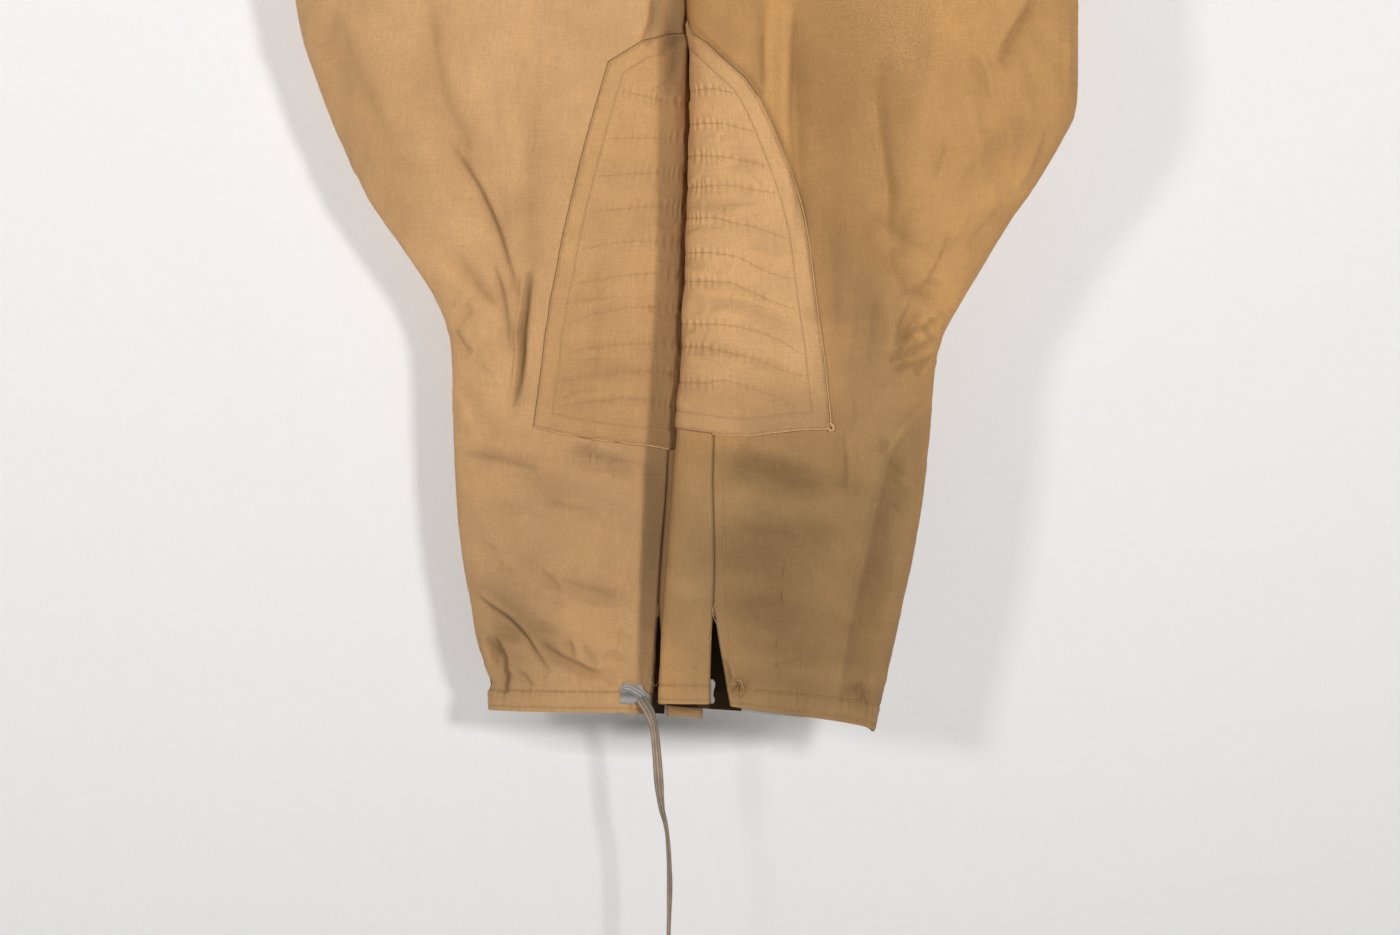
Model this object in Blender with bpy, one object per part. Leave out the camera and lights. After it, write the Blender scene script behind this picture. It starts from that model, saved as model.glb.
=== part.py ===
"""Riding breeches of military cut, hanging from the waist and filled out with no wearer.

The waist's top edge is at z = 0, the front faces -Y and the wearer's left leg is at +X.
The cloth of a leg is a function of two places, AROUND the leg and UP it:

    around  -1 outseam, 0 inseam or centre seam, 1 outseam again; above 0 is the front.
            A piece that crosses the outseam runs from 0 at the front to 2 at the back.
    up      height above the hem, in millimetres.

Each piece is cut flat, by its distance in millimetres from the inseam (above 0 to the front)
and its height, is given its thickness, and is formed onto the leg.
"""

import math

import bmesh
import bpy
import numpy as np
from mathutils import Matrix, Vector

MM = 0.001

# Driving dimensions, in millimetres
WAIST_TOP = 980.0
WAISTBAND_DEPTH = 38.0
CROTCH = 690.0
SPARE_LENGTH = 8.0          # formed cloth below the hem, for the facings that peep out
CLOTH = 1.5                 # a panel's wall
BAND_CLOTH = 2.4            # the waistband is doubled
BAND_BEHIND = 1.8           # how much of it lies behind the panels' outer face
SEAM_GAP = 0.3
NEARLY_NONE = 1e-7          # AROUND just behind the inseam
LAYER_GAP = 0.3             # between a panel and what is sewn on it
PATCH_STITCHED = 1.5        # a patch's thickness on its stitch rows
PATCH_PUFFED = 2.3          # and between them
QUILT_ROW = 29.0
SLIT_HEIGHT = 92.0
FACING_DEPTH = 24.0
FACING_CLOTH = 0.9

# The back panel's stretches, each a solid of its own so that collision can follow the hollow
BACK_STRETCHES = (
    ("calf", 0.0, 235.0),
    ("upper_calf", 235.0, 342.1),
    ("knee", 342.1, 583.0),
    ("thigh", 583.0, CROTCH),
    ("seat", CROTCH, WAIST_TOP - WAISTBAND_DEPTH),
)

# The hem facings that peep out: the faces of the leg each crosses, its ends by their distance
# from the inseam, and how far it shows below the hem.
FACINGS = (
    ("left", "left_front_hem_facing", ("front", "front"), 24.0, 78.0, 3.0),
    ("left", "left_back_hem_facing", ("back", "front"), -60.0, 3.2, 0.0),
    ("right", "right_back_hem_facing", ("back", "back"), -60.0, -8.0, 0.0),
)

FLY_DEPTH = 172.0
FLY_WIDTH = 38.0
BUTTON_RADIUS = 8.5
BUTTON_THICKNESS = 3.0
BUTTON_EDGE = 0.7
BUTTON_SIDES = 28
BUTTON_SEAT = 0.55          # thread between the button and the waistband
BUTTON_FROM_CENTRE = 14.0
THREAD_HOLE_RADIUS = 1.0
THREAD_HOLE_CIRCLE = 2.2
THREAD_HOLES = 4
TAPE_RADIUS = 3.0

FRONT_COLUMNS = 16
BACK_COLUMNS = 12
ROUND_STEPS = 400           # samples round half a leg where lengths are measured

# The rows of cloth, as zones: from this height, to this height, so many rows
ROW_ZONES = (
    (-SPARE_LENGTH, 0.0, 1),
    (0.0, 235.0, 10),
    (235.0, 583.0, 13),
    (583.0, CROTCH, 4),
    (CROTCH, 724.0, 4),
    (724.0, WAIST_TOP - WAISTBAND_DEPTH, 7),
    (WAIST_TOP - WAISTBAND_DEPTH, WAIST_TOP, 2),
)

# A leg's sections. Height, then how far its outer and inner edges lie from the middle of the
# garment on the leg's own side, then how many degrees the inseam has turned to the front.
LEG_COLUMNS = ("height", "outer", "inner", "turn")
LEFT_LEG = (
    (-8.0, 158.0, -21.5, 61.0),
    (0.0, 160.5, -21.0, 60.0),
    (26.0, 168.0, -20.5, 58.0),
    (60.0, 177.0, -19.5, 56.0),
    (94.0, 185.0, -17.0, 54.0),
    (128.0, 193.0, -14.5, 52.0),
    (196.0, 204.0, -10.0, 47.0),
    (240.0, 208.0, -5.0, 44.0),
    (298.0, 213.0, -0.5, 39.0),
    (315.0, 218.0, 0.5, 38.0),
    (332.0, 226.0, 1.0, 36.0),
    (366.0, 246.0, 3.0, 33.0),
    (417.0, 278.0, 4.8, 29.0),
    (451.0, 301.0, 6.0, 26.0),
    (485.0, 321.0, 7.0, 23.0),
    (505.0, 330.5, 7.4, 21.0),
    (522.0, 333.0, 7.4, 19.0),
    (583.0, 334.0, 5.5, 12.0),
    (640.0, 334.0, 3.5, 5.0),
    (CROTCH, 320.0, 0.0, 0.0),
)
RIGHT_LEG = (
    (-8.0, 168.0, -15.0, 55.5),
    (0.0, 168.0, -15.0, 55.0),
    (14.0, 168.0, -15.0, 54.0),
    (23.0, 165.5, -14.5, 53.5),
    (33.0, 169.5, -14.5, 53.0),
    (43.0, 172.5, -14.0, 52.0),
    (60.0, 178.0, -13.5, 51.0),
    (94.0, 184.0, -13.0, 49.0),
    (128.0, 190.0, -12.0, 46.0),
    (196.0, 196.0, -9.5, 39.5),
    (240.0, 197.5, -8.0, 36.5),
    (298.0, 199.0, -5.5, 33.0),
    (315.0, 200.5, -4.5, 33.0),
    (332.0, 204.5, -4.0, 32.0),
    (349.0, 212.0, -3.0, 31.0),
    (366.0, 221.5, -3.0, 30.0),
    (400.0, 244.5, -2.5, 28.0),
    (434.0, 268.0, -2.5, 25.0),
    (485.0, 293.5, -3.3, 21.0),
    (536.0, 313.5, -3.3, 16.0),
    (587.0, 328.5, -2.0, 11.0),
    (640.0, 334.0, -0.5, 5.0),
    (CROTCH, 320.0, 0.0, 0.0),
)

# Both legs: how deep the front and back halves of a section are, how far the leg stands
# forward (the left) or back (the right) where the two cross, and how far the fullest place of
# a section has moved from its middle (1) towards the inseam.
DEPTH_COLUMNS = ("height", "front", "back", "apart", "skew")
DEPTHS = (
    (-8.0, 23.0, 23.0, 18.0, 1.0),
    (0.0, 24.0, 24.0, 18.0, 1.0),
    (60.0, 29.0, 29.0, 18.5, 1.0),
    (120.0, 32.0, 33.0, 19.0, 1.0),
    (200.0, 35.0, 37.0, 18.0, 1.0),
    (264.0, 36.0, 39.0, 16.5, 1.0),
    (320.0, 38.0, 40.0, 15.0, 0.97),
    (380.0, 42.0, 44.0, 13.5, 0.92),
    (440.0, 47.0, 50.0, 12.0, 0.87),
    (519.0, 55.0, 59.0, 11.0, 0.82),
    (583.0, 63.0, 68.0, 8.5, 0.80),
    (640.0, 71.0, 78.0, 4.5, 0.80),
    (CROTCH, 78.0, 88.0, 0.0, 0.82),
    (740.0, 83.0, 97.0, 0.0, 0.88),
    (800.0, 88.0, 102.0, 0.0, 0.94),
    (860.0, 88.0, 99.0, 0.0, 0.98),
    (920.0, 84.0, 89.0, 0.0, 1.0),
    (WAIST_TOP, 80.0, 80.0, 0.0, 1.0),
)

# Above the crotch the two halves are alike: the outer edge, and the angle at which the front
# and the back meet the centre seam, from 0 at the crotch to 90 at the waist.
BODY_COLUMNS = ("height", "outer", "front_turn", "back_turn")
BODY = (
    (CROTCH, 320.0, 0.0, 0.0),
    (697.0, 318.0, 22.0, 20.0),
    (708.0, 313.5, 38.0, 33.0),
    (724.0, 304.0, 52.0, 46.0),
    (745.0, 287.0, 63.0, 57.0),
    (790.0, 254.0, 74.0, 69.0),
    (840.0, 226.0, 81.0, 78.0),
    (890.0, 205.0, 86.0, 84.0),
    (940.0, 190.0, 89.0, 88.0),
    (WAIST_TOP, 185.0, 90.0, 90.0),
)

# The largest folds. Side is the garment's face, x and height are where a fold starts and ends
# (x in the garment, so the right leg is negative), width is its half width and depth how far
# the cloth goes in (below 0) or stands out.
FOLD_COLUMNS = ("face", "x0", "height0", "x1", "height1", "width", "depth")
FOLDS = (
    ("front", -238.0, 640.0, -186.0, 500.0, 26.0, -6.0),
    ("front", -198.0, 480.0, -143.0, 352.0, 17.0, -6.0),
    ("front", -136.0, 372.0, -149.0, 258.0, 11.0, -6.0),
    ("front", -262.0, 600.0, -226.0, 420.0, 30.0, 4.0),
    ("front", -213.0, 388.0, -162.0, 347.0, 14.0, -4.0),
    ("front", -196.0, 276.0, -150.0, 226.0, 16.0, -3.0),
    ("front", -182.0, 102.0, -128.0, 46.0, 12.0, -4.0),
    ("front", -166.0, 62.0, -154.0, 20.0, 9.0, -4.0),
    ("front", -124.0, 54.0, -62.0, 28.0, 9.0, -2.5),
    ("front", 124.0, 640.0, 128.0, 470.0, 34.0, -7.0),
    ("front", 82.0, 640.0, 84.0, 500.0, 16.0, 5.0),
    ("front", 300.0, 604.0, 268.0, 552.0, 12.0, -3.5),
    ("front", 292.0, 520.0, 244.0, 436.0, 20.0, -4.0),
    ("front", 164.0, 556.0, 178.0, 430.0, 16.0, -3.0),
    ("front", 212.0, 352.0, 180.0, 300.0, 12.0, -5.0),
    ("front", 194.0, 255.0, 128.0, 20.0, 14.0, 4.0),
    ("front", 204.0, 230.0, 172.0, 130.0, 18.0, -4.0),
    ("front", 90.0, 206.0, 130.0, 186.0, 16.0, -3.0),
    ("back", -230.0, 640.0, -150.0, 470.0, 26.0, -6.0),
    ("back", -110.0, 520.0, -130.0, 330.0, 22.0, -5.0),
    ("back", -190.0, 345.0, -110.0, 318.0, 13.0, -5.0),
    ("back", -180.0, 310.0, -90.0, 290.0, 11.0, -4.0),
    ("back", -160.0, 150.0, -80.0, 60.0, 16.0, -4.0),
    ("back", 220.0, 640.0, 160.0, 450.0, 28.0, -6.0),
    ("back", 120.0, 540.0, 140.0, 340.0, 20.0, -5.0),
    ("back", 200.0, 340.0, 110.0, 312.0, 13.0, -5.0),
    ("back", 186.0, 306.0, 96.0, 296.0, 11.0, -4.0),
    ("back", 170.0, 160.0, 90.0, 70.0, 16.0, -4.0),
)
FOLD_FREE = 0.10            # share of the cloth beside a seam where the folds fade

# How the hem hangs at each angle round the leg, in mm, faded out over this height
HEM_FADE = 150.0
HEM_COLUMNS = ("angle", "drop")
LEFT_HEM = ((-180.0, -16.0), (-90.0, -2.0), (0.0, 8.0), (62.0, 9.0), (76.0, 6.0), (180.0, -16.0))
RIGHT_HEM = ((-180.0, 0.0), (-60.0, -5.0), (0.0, -8.0), (50.0, -4.0), (75.0, -1.0), (180.0, 0.0))

# The slits at the inseam: how far the front panel's edge and the back panel's edge stand from
# the seam line at the hem.
SLITS = {"left": (19.0, 0.5), "right": (4.0, 10.0)}

# A knee patch's outline on the front, as x and height from its top at the inseam round to its
# bottom edge, and how far it reaches on the back of the leg from the inseam.
PATCH_OUTLINE = {
    "left": ((8.0, 587.0), (22.0, 572.0), (66.0, 519.0), (86.0, 476.0), (103.0, 409.0),
             (116.0, 324.0), (124.0, 239.0)),
    "right": ((2.0, 581.0), (-29.0, 570.0), (-65.0, 551.0), (-130.0, 241.0)),
}
PATCH_BOTTOM = {"left": 237.0, "right": 224.0}      # where it crosses the inseam
PATCH_BACK_TOP = (30.0, -30.0)      # on the back: from the inseam, and above the top corner
PATCH_BACK_BOTTOM = (92.0, 12.0)    # from the inseam, and above the bottom

# The drawstring's free end, which leaves the right front hem, folds flat on it and hangs.
# x, how far in front of y = 0, and height above the hem.
TAPE_FOLD_OUTLINE = ((-55.0, 20.5), (-36.0, 18.0), (-30.5, 7.0), (-36.0, 1.0), (-55.0, 3.5))
TAPE_FOLD_CLOTH = 2.6
TAPE_ROUTE = (
    (-36.5, 11.2, 11.5),
    (-33.0, 12.6, 6.5),
    (-29.2, 13.4, 0.0),
    (-26.6, 13.6, -8.0),
    (-24.6, 13.2, -18.0),
    (-23.2, 12.6, -32.0),
    (-22.0, 12.2, -48.0),
    (-20.6, 12.0, -66.0),
    (-18.6, 12.0, -82.0),
    (-15.6, 12.2, -94.0),
    (-13.8, 12.4, -106.0),
    (-12.6, 12.4, -124.0),
    (-12.0, 12.2, -144.0),
    (-12.4, 12.0, -166.0),
    (-13.0, 11.8, -190.0),
    (-13.2, 11.8, -216.0),
    (-13.0, 11.8, -240.0),
)
TAPE_POINT_SPACING = 7.0

MATERIALS = {
    "cloth_right": ((0.56, 0.33, 0.145), 0.9, 0.0),
    "cloth_left": ((0.42, 0.25, 0.105), 0.9, 0.0),
    "cloth_patch": ((0.55, 0.32, 0.140), 0.9, 0.0),
    "facing": ((0.48, 0.46, 0.42), 0.92, 0.0),
    "tape": ((0.36, 0.32, 0.27), 0.9, 0.0),
    "button": ((0.20, 0.13, 0.075), 0.4, 0.0),
}


def table(rows, columns):
    """The columns of a table, by name."""
    return {name: np.array([row[k] for row in rows], float) for k, name in enumerate(columns)}


def smooth(heights, values, at):
    """A cubic curve through the values that never overshoots them."""
    step = np.diff(heights)
    slope = np.diff(values) / step
    product = slope[:-1] * slope[1:]
    total = np.where(product > 0, slope[:-1] + slope[1:], 1.0)
    inner = np.where(product > 0, 2 * product / total, 0.0)
    ends = np.concatenate([slope[:1], inner, slope[-1:]])
    at = np.clip(at, heights[0], heights[-1])
    k = np.clip(np.searchsorted(heights, at, side="right") - 1, 0, len(step) - 1)
    t = (at - heights[k]) / step[k]
    return (
        (1 + 2 * t) * (1 - t) ** 2 * values[k]
        + t * (1 - t) ** 2 * step[k] * ends[k]
        + t * t * (3 - 2 * t) * values[k + 1]
        + t * t * (t - 1) * step[k] * ends[k + 1]
    )


class Leg:
    """One half of the garment: where a point of its cloth lies, and which way the cloth faces."""

    def __init__(self, name, side, sections, hem):
        self.name = name
        self.side = side
        self.sections = table(sections, LEG_COLUMNS)
        self.depths = table(DEPTHS, DEPTH_COLUMNS)
        self.body = table(BODY, BODY_COLUMNS)
        self.hem = table(hem, HEM_COLUMNS)

    def level(self, rows, column, up):
        return smooth(rows["height"], rows[column], up)

    def plain(self, around, up):
        """The unfolded cloth: points, and the angle round the section."""
        around, up = np.broadcast_arrays(np.asarray(around, float), np.asarray(up, float))
        back = (around < 0) | (around > 1)
        share = np.where(around > 1, 2 - around, np.abs(around))
        above = up > CROTCH
        turn = np.radians(self.level(self.sections, "turn", up))
        start_front = np.where(above, np.radians(self.level(self.body, "front_turn", up)), turn)
        start_back = np.where(above, -np.radians(self.level(self.body, "back_turn", up)), turn)
        angle = np.where(
            back,
            start_back - (math.pi + start_back) * share,
            start_front + (math.pi - start_front) * share,
        )
        skew = self.level(self.depths, "skew", up)
        outer = np.where(
            above, self.level(self.body, "outer", up), self.level(self.sections, "outer", up)
        )
        inner = self.level(self.sections, "inner", up)
        start = np.where(back, start_back, start_front)
        near = ((1 - np.cos(start)) / 2) ** (1 / skew)
        inner = np.where(above, -outer * near / (1 - near), inner)
        inner = inner + SEAM_GAP / 2
        reach = ((1 - np.cos(angle)) / 2) ** (1 / skew)
        depth = np.where(
            angle >= 0,
            self.level(self.depths, "front", up),
            self.level(self.depths, "back", up),
        )
        x = self.side * (inner + (outer - inner) * reach)
        y = -depth * np.sin(angle) - self.side * self.level(self.depths, "apart", up)
        fade = np.clip(1 - up / HEM_FADE, 0, 1) ** 2
        drop = np.interp(np.degrees(angle), self.hem["angle"], self.hem["drop"]) * fade
        return np.stack([x, y, up + drop - WAIST_TOP], -1), angle

    def facing(self, shape, around, up):
        """Unit normals of a surface function, pointing out of the leg."""
        d_around = 0.004
        d_up = 1.0
        lean = np.where(around < -0.5, around + 2, around)
        beside = np.where(
            lean < 0, np.minimum(lean, -2 * d_around), np.maximum(lean, 2 * d_around)
        )
        lean = np.where((up + d_up > CROTCH) & (lean < 0.5), beside, lean)
        lean = np.minimum(lean, 2 - 2 * d_around)
        across = shape(lean + d_around, up) - shape(lean - d_around, up)
        along = shape(lean, up + d_up) - shape(lean, up - d_up)
        normal = np.cross(across, along) * self.side
        return normal / np.linalg.norm(normal, axis=-1, keepdims=True)

    def fold_depth(self, points, around, up, angle):
        """How far the folds move the cloth along its normal."""
        total = np.zeros(points.shape[:-1])
        share = np.where(around > 1, 2 - around, np.abs(around))
        free = np.clip(share / FOLD_FREE, 0, 1) * np.clip((1 - share) / FOLD_FREE, 0, 1)
        below_crotch = np.clip((CROTCH - 30.0 - up) / 60.0, 0, 1)
        for face, x0, height0, x1, height1, width, depth in FOLDS:
            on_face = np.where((angle >= 0) == (face == "front"), 1.0, 0.0)
            here = np.stack([points[..., 0], up], -1)
            start = np.array([x0, height0])
            run = np.array([x1, height1]) - start
            t = np.clip(((here - start) @ run) / (run @ run), 0, 1)
            away = np.linalg.norm(here - (start + t[..., None] * run), axis=-1)
            taper = np.sin(math.pi * (0.12 + 0.76 * t))
            total += on_face * depth * taper * np.exp(-((away / width) ** 2))
        return total * free * below_crotch

    def folded(self, around, up):
        around, up = np.broadcast_arrays(np.asarray(around, float), np.asarray(up, float))
        points, angle = self.plain(around, up)
        normal = self.facing(lambda a, u: self.plain(a, u)[0], around, up)
        return points + normal * self.fold_depth(points, around, up, angle)[..., None]

    def surface(self, around, up):
        """Points and normals of the cloth's outer face, in millimetres."""
        return self.folded(around, up), self.facing(self.folded, around, up)

    def lengths(self, height, back=False):
        """Places round half a leg, and the length of cloth from the inseam to each."""
        fine = np.linspace(0.0, 1.0, ROUND_STEPS)
        place = np.where(fine > 0, -fine, -NEARLY_NONE) if back else fine
        points = self.plain(place, np.full(ROUND_STEPS, height))[0]
        steps = np.linalg.norm(np.diff(points, axis=0), axis=1)
        return fine, points, np.concatenate([[0.0], np.cumsum(steps)])

    def length_at(self, x, height):
        """Length of cloth from the inseam to a place seen from the front."""
        _, points, length = self.lengths(height)
        seen = self.side * points[:, 0]
        return float(np.interp(self.side * x, seen[seen.argmin():], length[seen.argmin():]))


def column_places(first, last, trim):
    """The column lines of a piece, as AROUND; trim is the seams' share of half a leg."""
    front = np.arange(FRONT_COLUMNS + 1) / FRONT_COLUMNS
    back = np.arange(BACK_COLUMNS + 1) / BACK_COLUMNS
    if first == "back" and last == "front":
        return np.concatenate([-back[:0:-1], front])
    if first == "back":
        back[[0, -1]] += (trim, -trim)
        return -back[::-1]
    if last == "front":
        front[[0, -1]] += (trim, -trim)
        return front
    front[0] += trim
    back[0] += trim
    return np.concatenate([front, 2 - back[-2::-1]])


def row_places():
    """The row lines, which every piece shares."""
    return np.unique(np.concatenate([np.linspace(a, b, n + 1) for a, b, n in ROW_ZONES]))


def flat_cloth(leg, first, last):
    """The cloth from the back or front to the front or back, flat, in triangles.

    Each point carries the place and the facing it will have on the leg, which later cuts
    share out along the edges they cross."""
    rows = row_places()
    bm = bmesh.new()
    place = bm.verts.layers.float_vector.new("place")
    facing = bm.verts.layers.float_vector.new("facing")
    grid = []
    for height in rows:
        fine, _, front_length = leg.lengths(height)
        back_length = leg.lengths(height, back=True)[2]
        columns = column_places(first, last, SEAM_GAP / 2 / front_length[-1])
        points, normals = leg.surface(columns, np.full(len(columns), height))
        round_front = np.interp(np.minimum(columns, 2 - columns), fine, front_length)
        round_back = np.interp(np.minimum(np.abs(columns), 2 - columns), fine, back_length)
        across = np.where(columns < 0, -round_back, round_front)
        across = np.where(columns > 1, front_length[-1] + back_length[-1] - round_back, across)
        line = []
        for x, point, normal in zip(across, points, normals):
            vert = bm.verts.new((x, height, 0.0))
            vert[place] = Vector(point)
            vert[facing] = Vector(normal)
            line.append(vert)
        grid.append(line)
    for low, high in zip(grid, grid[1:]):
        for a, b, c, d in zip(low, low[1:], high[1:], high):
            bm.faces.new((a, b, c))
            bm.faces.new((a, c, d))
    return bm


def cut(bm, a, b, only_mark=False):
    """Cuts the flat cloth along the line from a to b and drops what is on its right."""
    start = Vector((*a, 0.0))
    across = (Vector((*b, 0.0)) - start).cross(Vector((0, 0, 1))).normalized()
    bmesh.ops.bisect_plane(
        bm,
        geom=bm.verts[:] + bm.edges[:] + bm.faces[:],
        dist=0.001,
        plane_co=start,
        plane_no=across,
        clear_outer=not only_mark,
    )


def cloth_piece(leg, name, material, span, heights, cuts=(), marks=(), inside=-CLOTH, outside=0.0,
                relief=None):
    """A piece of cloth: cut flat, given thickness, formed on the leg.

    span says which of the leg's faces it crosses, heights are its limits, cuts are lines
    whose left side is kept and marks are lines that only divide it; inside and outside are
    its faces' distances from the outer face of the panels."""
    bm = flat_cloth(leg, *span)
    low, high = heights
    for a, b in [((0.0, low), (1.0, low)), ((1.0, high), (0.0, high)), *cuts]:
        cut(bm, a, b)
    for a, b in marks:
        cut(bm, a, b, only_mark=True)
    bmesh.ops.triangulate(bm, faces=bm.faces[:])
    raised = bmesh.ops.extrude_face_region(bm, geom=bm.faces[:])["geom"]
    top = {v for v in raised if isinstance(v, bmesh.types.BMVert)}
    place = bm.verts.layers.float_vector["place"]
    facing = bm.verts.layers.float_vector["facing"]
    for v in bm.verts:
        rise = outside if v in top else inside
        if v in top and relief:
            rise += relief(v.co.y)
        v.co = (v[place] + v[facing].normalized() * rise) * MM
    bmesh.ops.recalc_face_normals(bm, faces=bm.faces[:])
    if bm.calc_volume(signed=True) < 0:
        bmesh.ops.reverse_faces(bm, faces=bm.faces[:])
    mesh = bpy.data.meshes.new(name)
    bm.to_mesh(mesh)
    bm.free()
    mesh.attributes.remove(mesh.attributes["place"])
    mesh.attributes.remove(mesh.attributes["facing"])
    return link(name, mesh, material)


def link(name, mesh, material):
    """Puts a mesh in the garment's collection with its material."""
    piece = bpy.data.objects.new(name, mesh)
    collection("military_trousers").objects.link(piece)
    mesh.materials.append(finish(material))
    mesh.shade_smooth()
    mesh.set_sharp_from_angle(angle=math.radians(50))
    return piece


def collection(name):
    found = bpy.data.collections.get(name)
    if found is None:
        found = bpy.data.collections.new(name)
        bpy.context.scene.collection.children.link(found)
    return found


def finish(name):
    found = bpy.data.materials.get(name)
    if found is None:
        colour, roughness, metallic = MATERIALS[name]
        found = bpy.data.materials.new(name)
        found.use_nodes = True
        shader = found.node_tree.nodes["Principled BSDF"]
        shader.inputs["Base Color"].default_value = (*colour, 1.0)
        shader.inputs["Roughness"].default_value = roughness
        shader.inputs["Metallic"].default_value = metallic
    return found


def panels(leg):
    """The front and the back of one leg, which meet at the outseam and the inseam."""
    heights = (0.0, WAIST_TOP - WAISTBAND_DEPTH - SEAM_GAP / 2)
    front_slit, back_slit = SLITS[leg.name]
    material = f"cloth_{leg.name}"
    cloth_piece(leg, f"{leg.name}_front", material, ("front", "front"), heights,
                cuts=[((0.0, SLIT_HEIGHT), (front_slit, 0.0))])
    for stretch, low, high in BACK_STRETCHES:
        limits = (low + (SEAM_GAP / 2 if low else 0.0), high - SEAM_GAP / 2)
        slit = [((-back_slit, 0.0), (0.0, SLIT_HEIGHT))] if low < SLIT_HEIGHT else []
        cloth_piece(leg, f"{leg.name}_back_{stretch}", material, ("back", "back"), limits, slit)


def knee_patch(leg):
    """The quilted patch that wraps round the inseam at the knee."""
    bottom = PATCH_BOTTOM[leg.name]
    outline = [(leg.length_at(x, height), height) for x, height in PATCH_OUTLINE[leg.name]]
    top = outline[0][1]
    outline += [
        (0.0, bottom),
        (-PATCH_BACK_BOTTOM[0], bottom + PATCH_BACK_BOTTOM[1]),
        (-PATCH_BACK_TOP[0], top + PATCH_BACK_TOP[1]),
    ]
    edges = [(b, a) for a, b in zip(outline, outline[1:] + outline[:1])]
    lines = np.arange(bottom + QUILT_ROW / 2, top, QUILT_ROW / 2)

    def puff(height):
        wave = math.sin(math.pi * (height - bottom) / QUILT_ROW) ** 2
        return (PATCH_PUFFED - PATCH_STITCHED) * wave

    lowest = min(height for _, height in outline)
    cloth_piece(leg, f"{leg.name}_knee_patch", "cloth_patch", ("back", "front"),
                (lowest, top), cuts=edges, marks=[((0.0, y), (1.0, y)) for y in lines],
                inside=LAYER_GAP, outside=LAYER_GAP + PATCH_STITCHED, relief=puff)


def waistband(leg):
    """Half of the waistband, from the front closure round to the centre back."""
    bottom = WAIST_TOP - WAISTBAND_DEPTH + SEAM_GAP / 2
    cloth_piece(leg, f"{leg.name}_waistband", f"cloth_{leg.name}", ("front", "back"),
                (bottom, WAIST_TOP), inside=-BAND_BEHIND, outside=BAND_CLOTH - BAND_BEHIND)


def fly(leg):
    """The underlap behind the closure, sewn to the other front's edge."""
    top = WAIST_TOP - WAISTBAND_DEPTH
    cloth_piece(leg, "fly_underlap", "cloth_right", ("front", "front"), (top - FLY_DEPTH, top),
                cuts=[((1.0, top), (1.0, 0.0)), ((FLY_WIDTH, 0.0), (FLY_WIDTH, top))],
                inside=-2 * CLOTH - LAYER_GAP, outside=-CLOTH - LAYER_GAP)


def hem_facing(leg, name, span, start, end, low_show):
    """A strip of grey cotton inside the hem, which peeps out beside it and below it."""
    cloth_piece(leg, name, "facing", span, (-low_show, FACING_DEPTH),
                cuts=[((start, 1.0), (start, 0.0)), ((end, 0.0), (end, 1.0))],
                inside=-CLOTH - LAYER_GAP - FACING_CLOTH, outside=-CLOTH - LAYER_GAP)


def disc(radius, depth, sides, rim=0.0):
    """A round slab on the Z axis, as a mesh in metres, with its rims rounded off."""
    bm = bmesh.new()
    bmesh.ops.create_cone(bm, cap_ends=True, segments=sides, radius1=radius, radius2=radius,
                          depth=depth)
    if rim:
        edges = [e for e in bm.edges if (e.verts[0].co.z > 0) == (e.verts[1].co.z > 0)]
        bmesh.ops.bevel(bm, geom=edges, offset=rim, segments=2, affect="EDGES")
    bmesh.ops.scale(bm, vec=(MM, MM, MM), verts=bm.verts)
    mesh = bpy.data.meshes.new("disc")
    bm.to_mesh(mesh)
    bm.free()
    return mesh


def waist_button(leg):
    """A button with thread holes, on the closure of the waistband."""
    height = WAIST_TOP - WAISTBAND_DEPTH / 2
    fine, _, length = leg.lengths(height)
    around = np.interp([BUTTON_FROM_CENTRE], length, fine)
    point, normal = leg.surface(around, np.array([height]))
    outward = Vector(normal[0])
    face = BAND_CLOTH - BAND_BEHIND
    seat = Vector(point[0]) + outward * (face + BUTTON_SEAT + BUTTON_THICKNESS / 2)
    stance = Matrix.Translation(seat * MM) @ outward.to_track_quat("Z", "Y").to_matrix().to_4x4()
    slab = disc(BUTTON_RADIUS, BUTTON_THICKNESS, BUTTON_SIDES, BUTTON_EDGE)
    button = link("waist_button", slab, "button")
    button.matrix_world = stance
    for k in range(THREAD_HOLES):
        turn = (k + 0.5) * 2 * math.pi / THREAD_HOLES
        drill_mesh = disc(THREAD_HOLE_RADIUS, 3 * BUTTON_THICKNESS, 8)
        drill = bpy.data.objects.new(f"thread_hole_{k + 1}", drill_mesh)
        collection("cutters").objects.link(drill)
        drill.hide_render = True
        drill.display_type = "WIRE"
        across = Vector((math.cos(turn), math.sin(turn), 0.0)) * THREAD_HOLE_CIRCLE * MM
        drill.matrix_world = stance @ Matrix.Translation(across)
        hole = button.modifiers.new(drill.name, "BOOLEAN")
        hole.solver = "EXACT"
        hole.object = drill


def tape_fold(leg):
    """The drawstring where it leaves the hem: doubled over and lying flat on the front."""
    outline = [(leg.length_at(x, height), height) for x, height in TAPE_FOLD_OUTLINE]
    heights = [height for _, height in outline]
    cloth_piece(leg, "drawstring_fold", "tape", ("front", "front"), (min(heights), max(heights)),
                cuts=zip(outline, outline[1:] + outline[:1]),
                inside=LAYER_GAP, outside=LAYER_GAP + TAPE_FOLD_CLOTH)


def through(points, spacing):
    """Evenly spaced points of a smooth curve through the route's points."""
    route = np.array(points, float)
    run = np.concatenate([[0.0], np.cumsum(np.linalg.norm(np.diff(route, axis=0), axis=1))])
    at = np.linspace(0.0, run[-1], int(run[-1] / spacing) + 1)
    return np.stack([smooth(run, route[:, k], at) for k in range(3)], -1)


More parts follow.
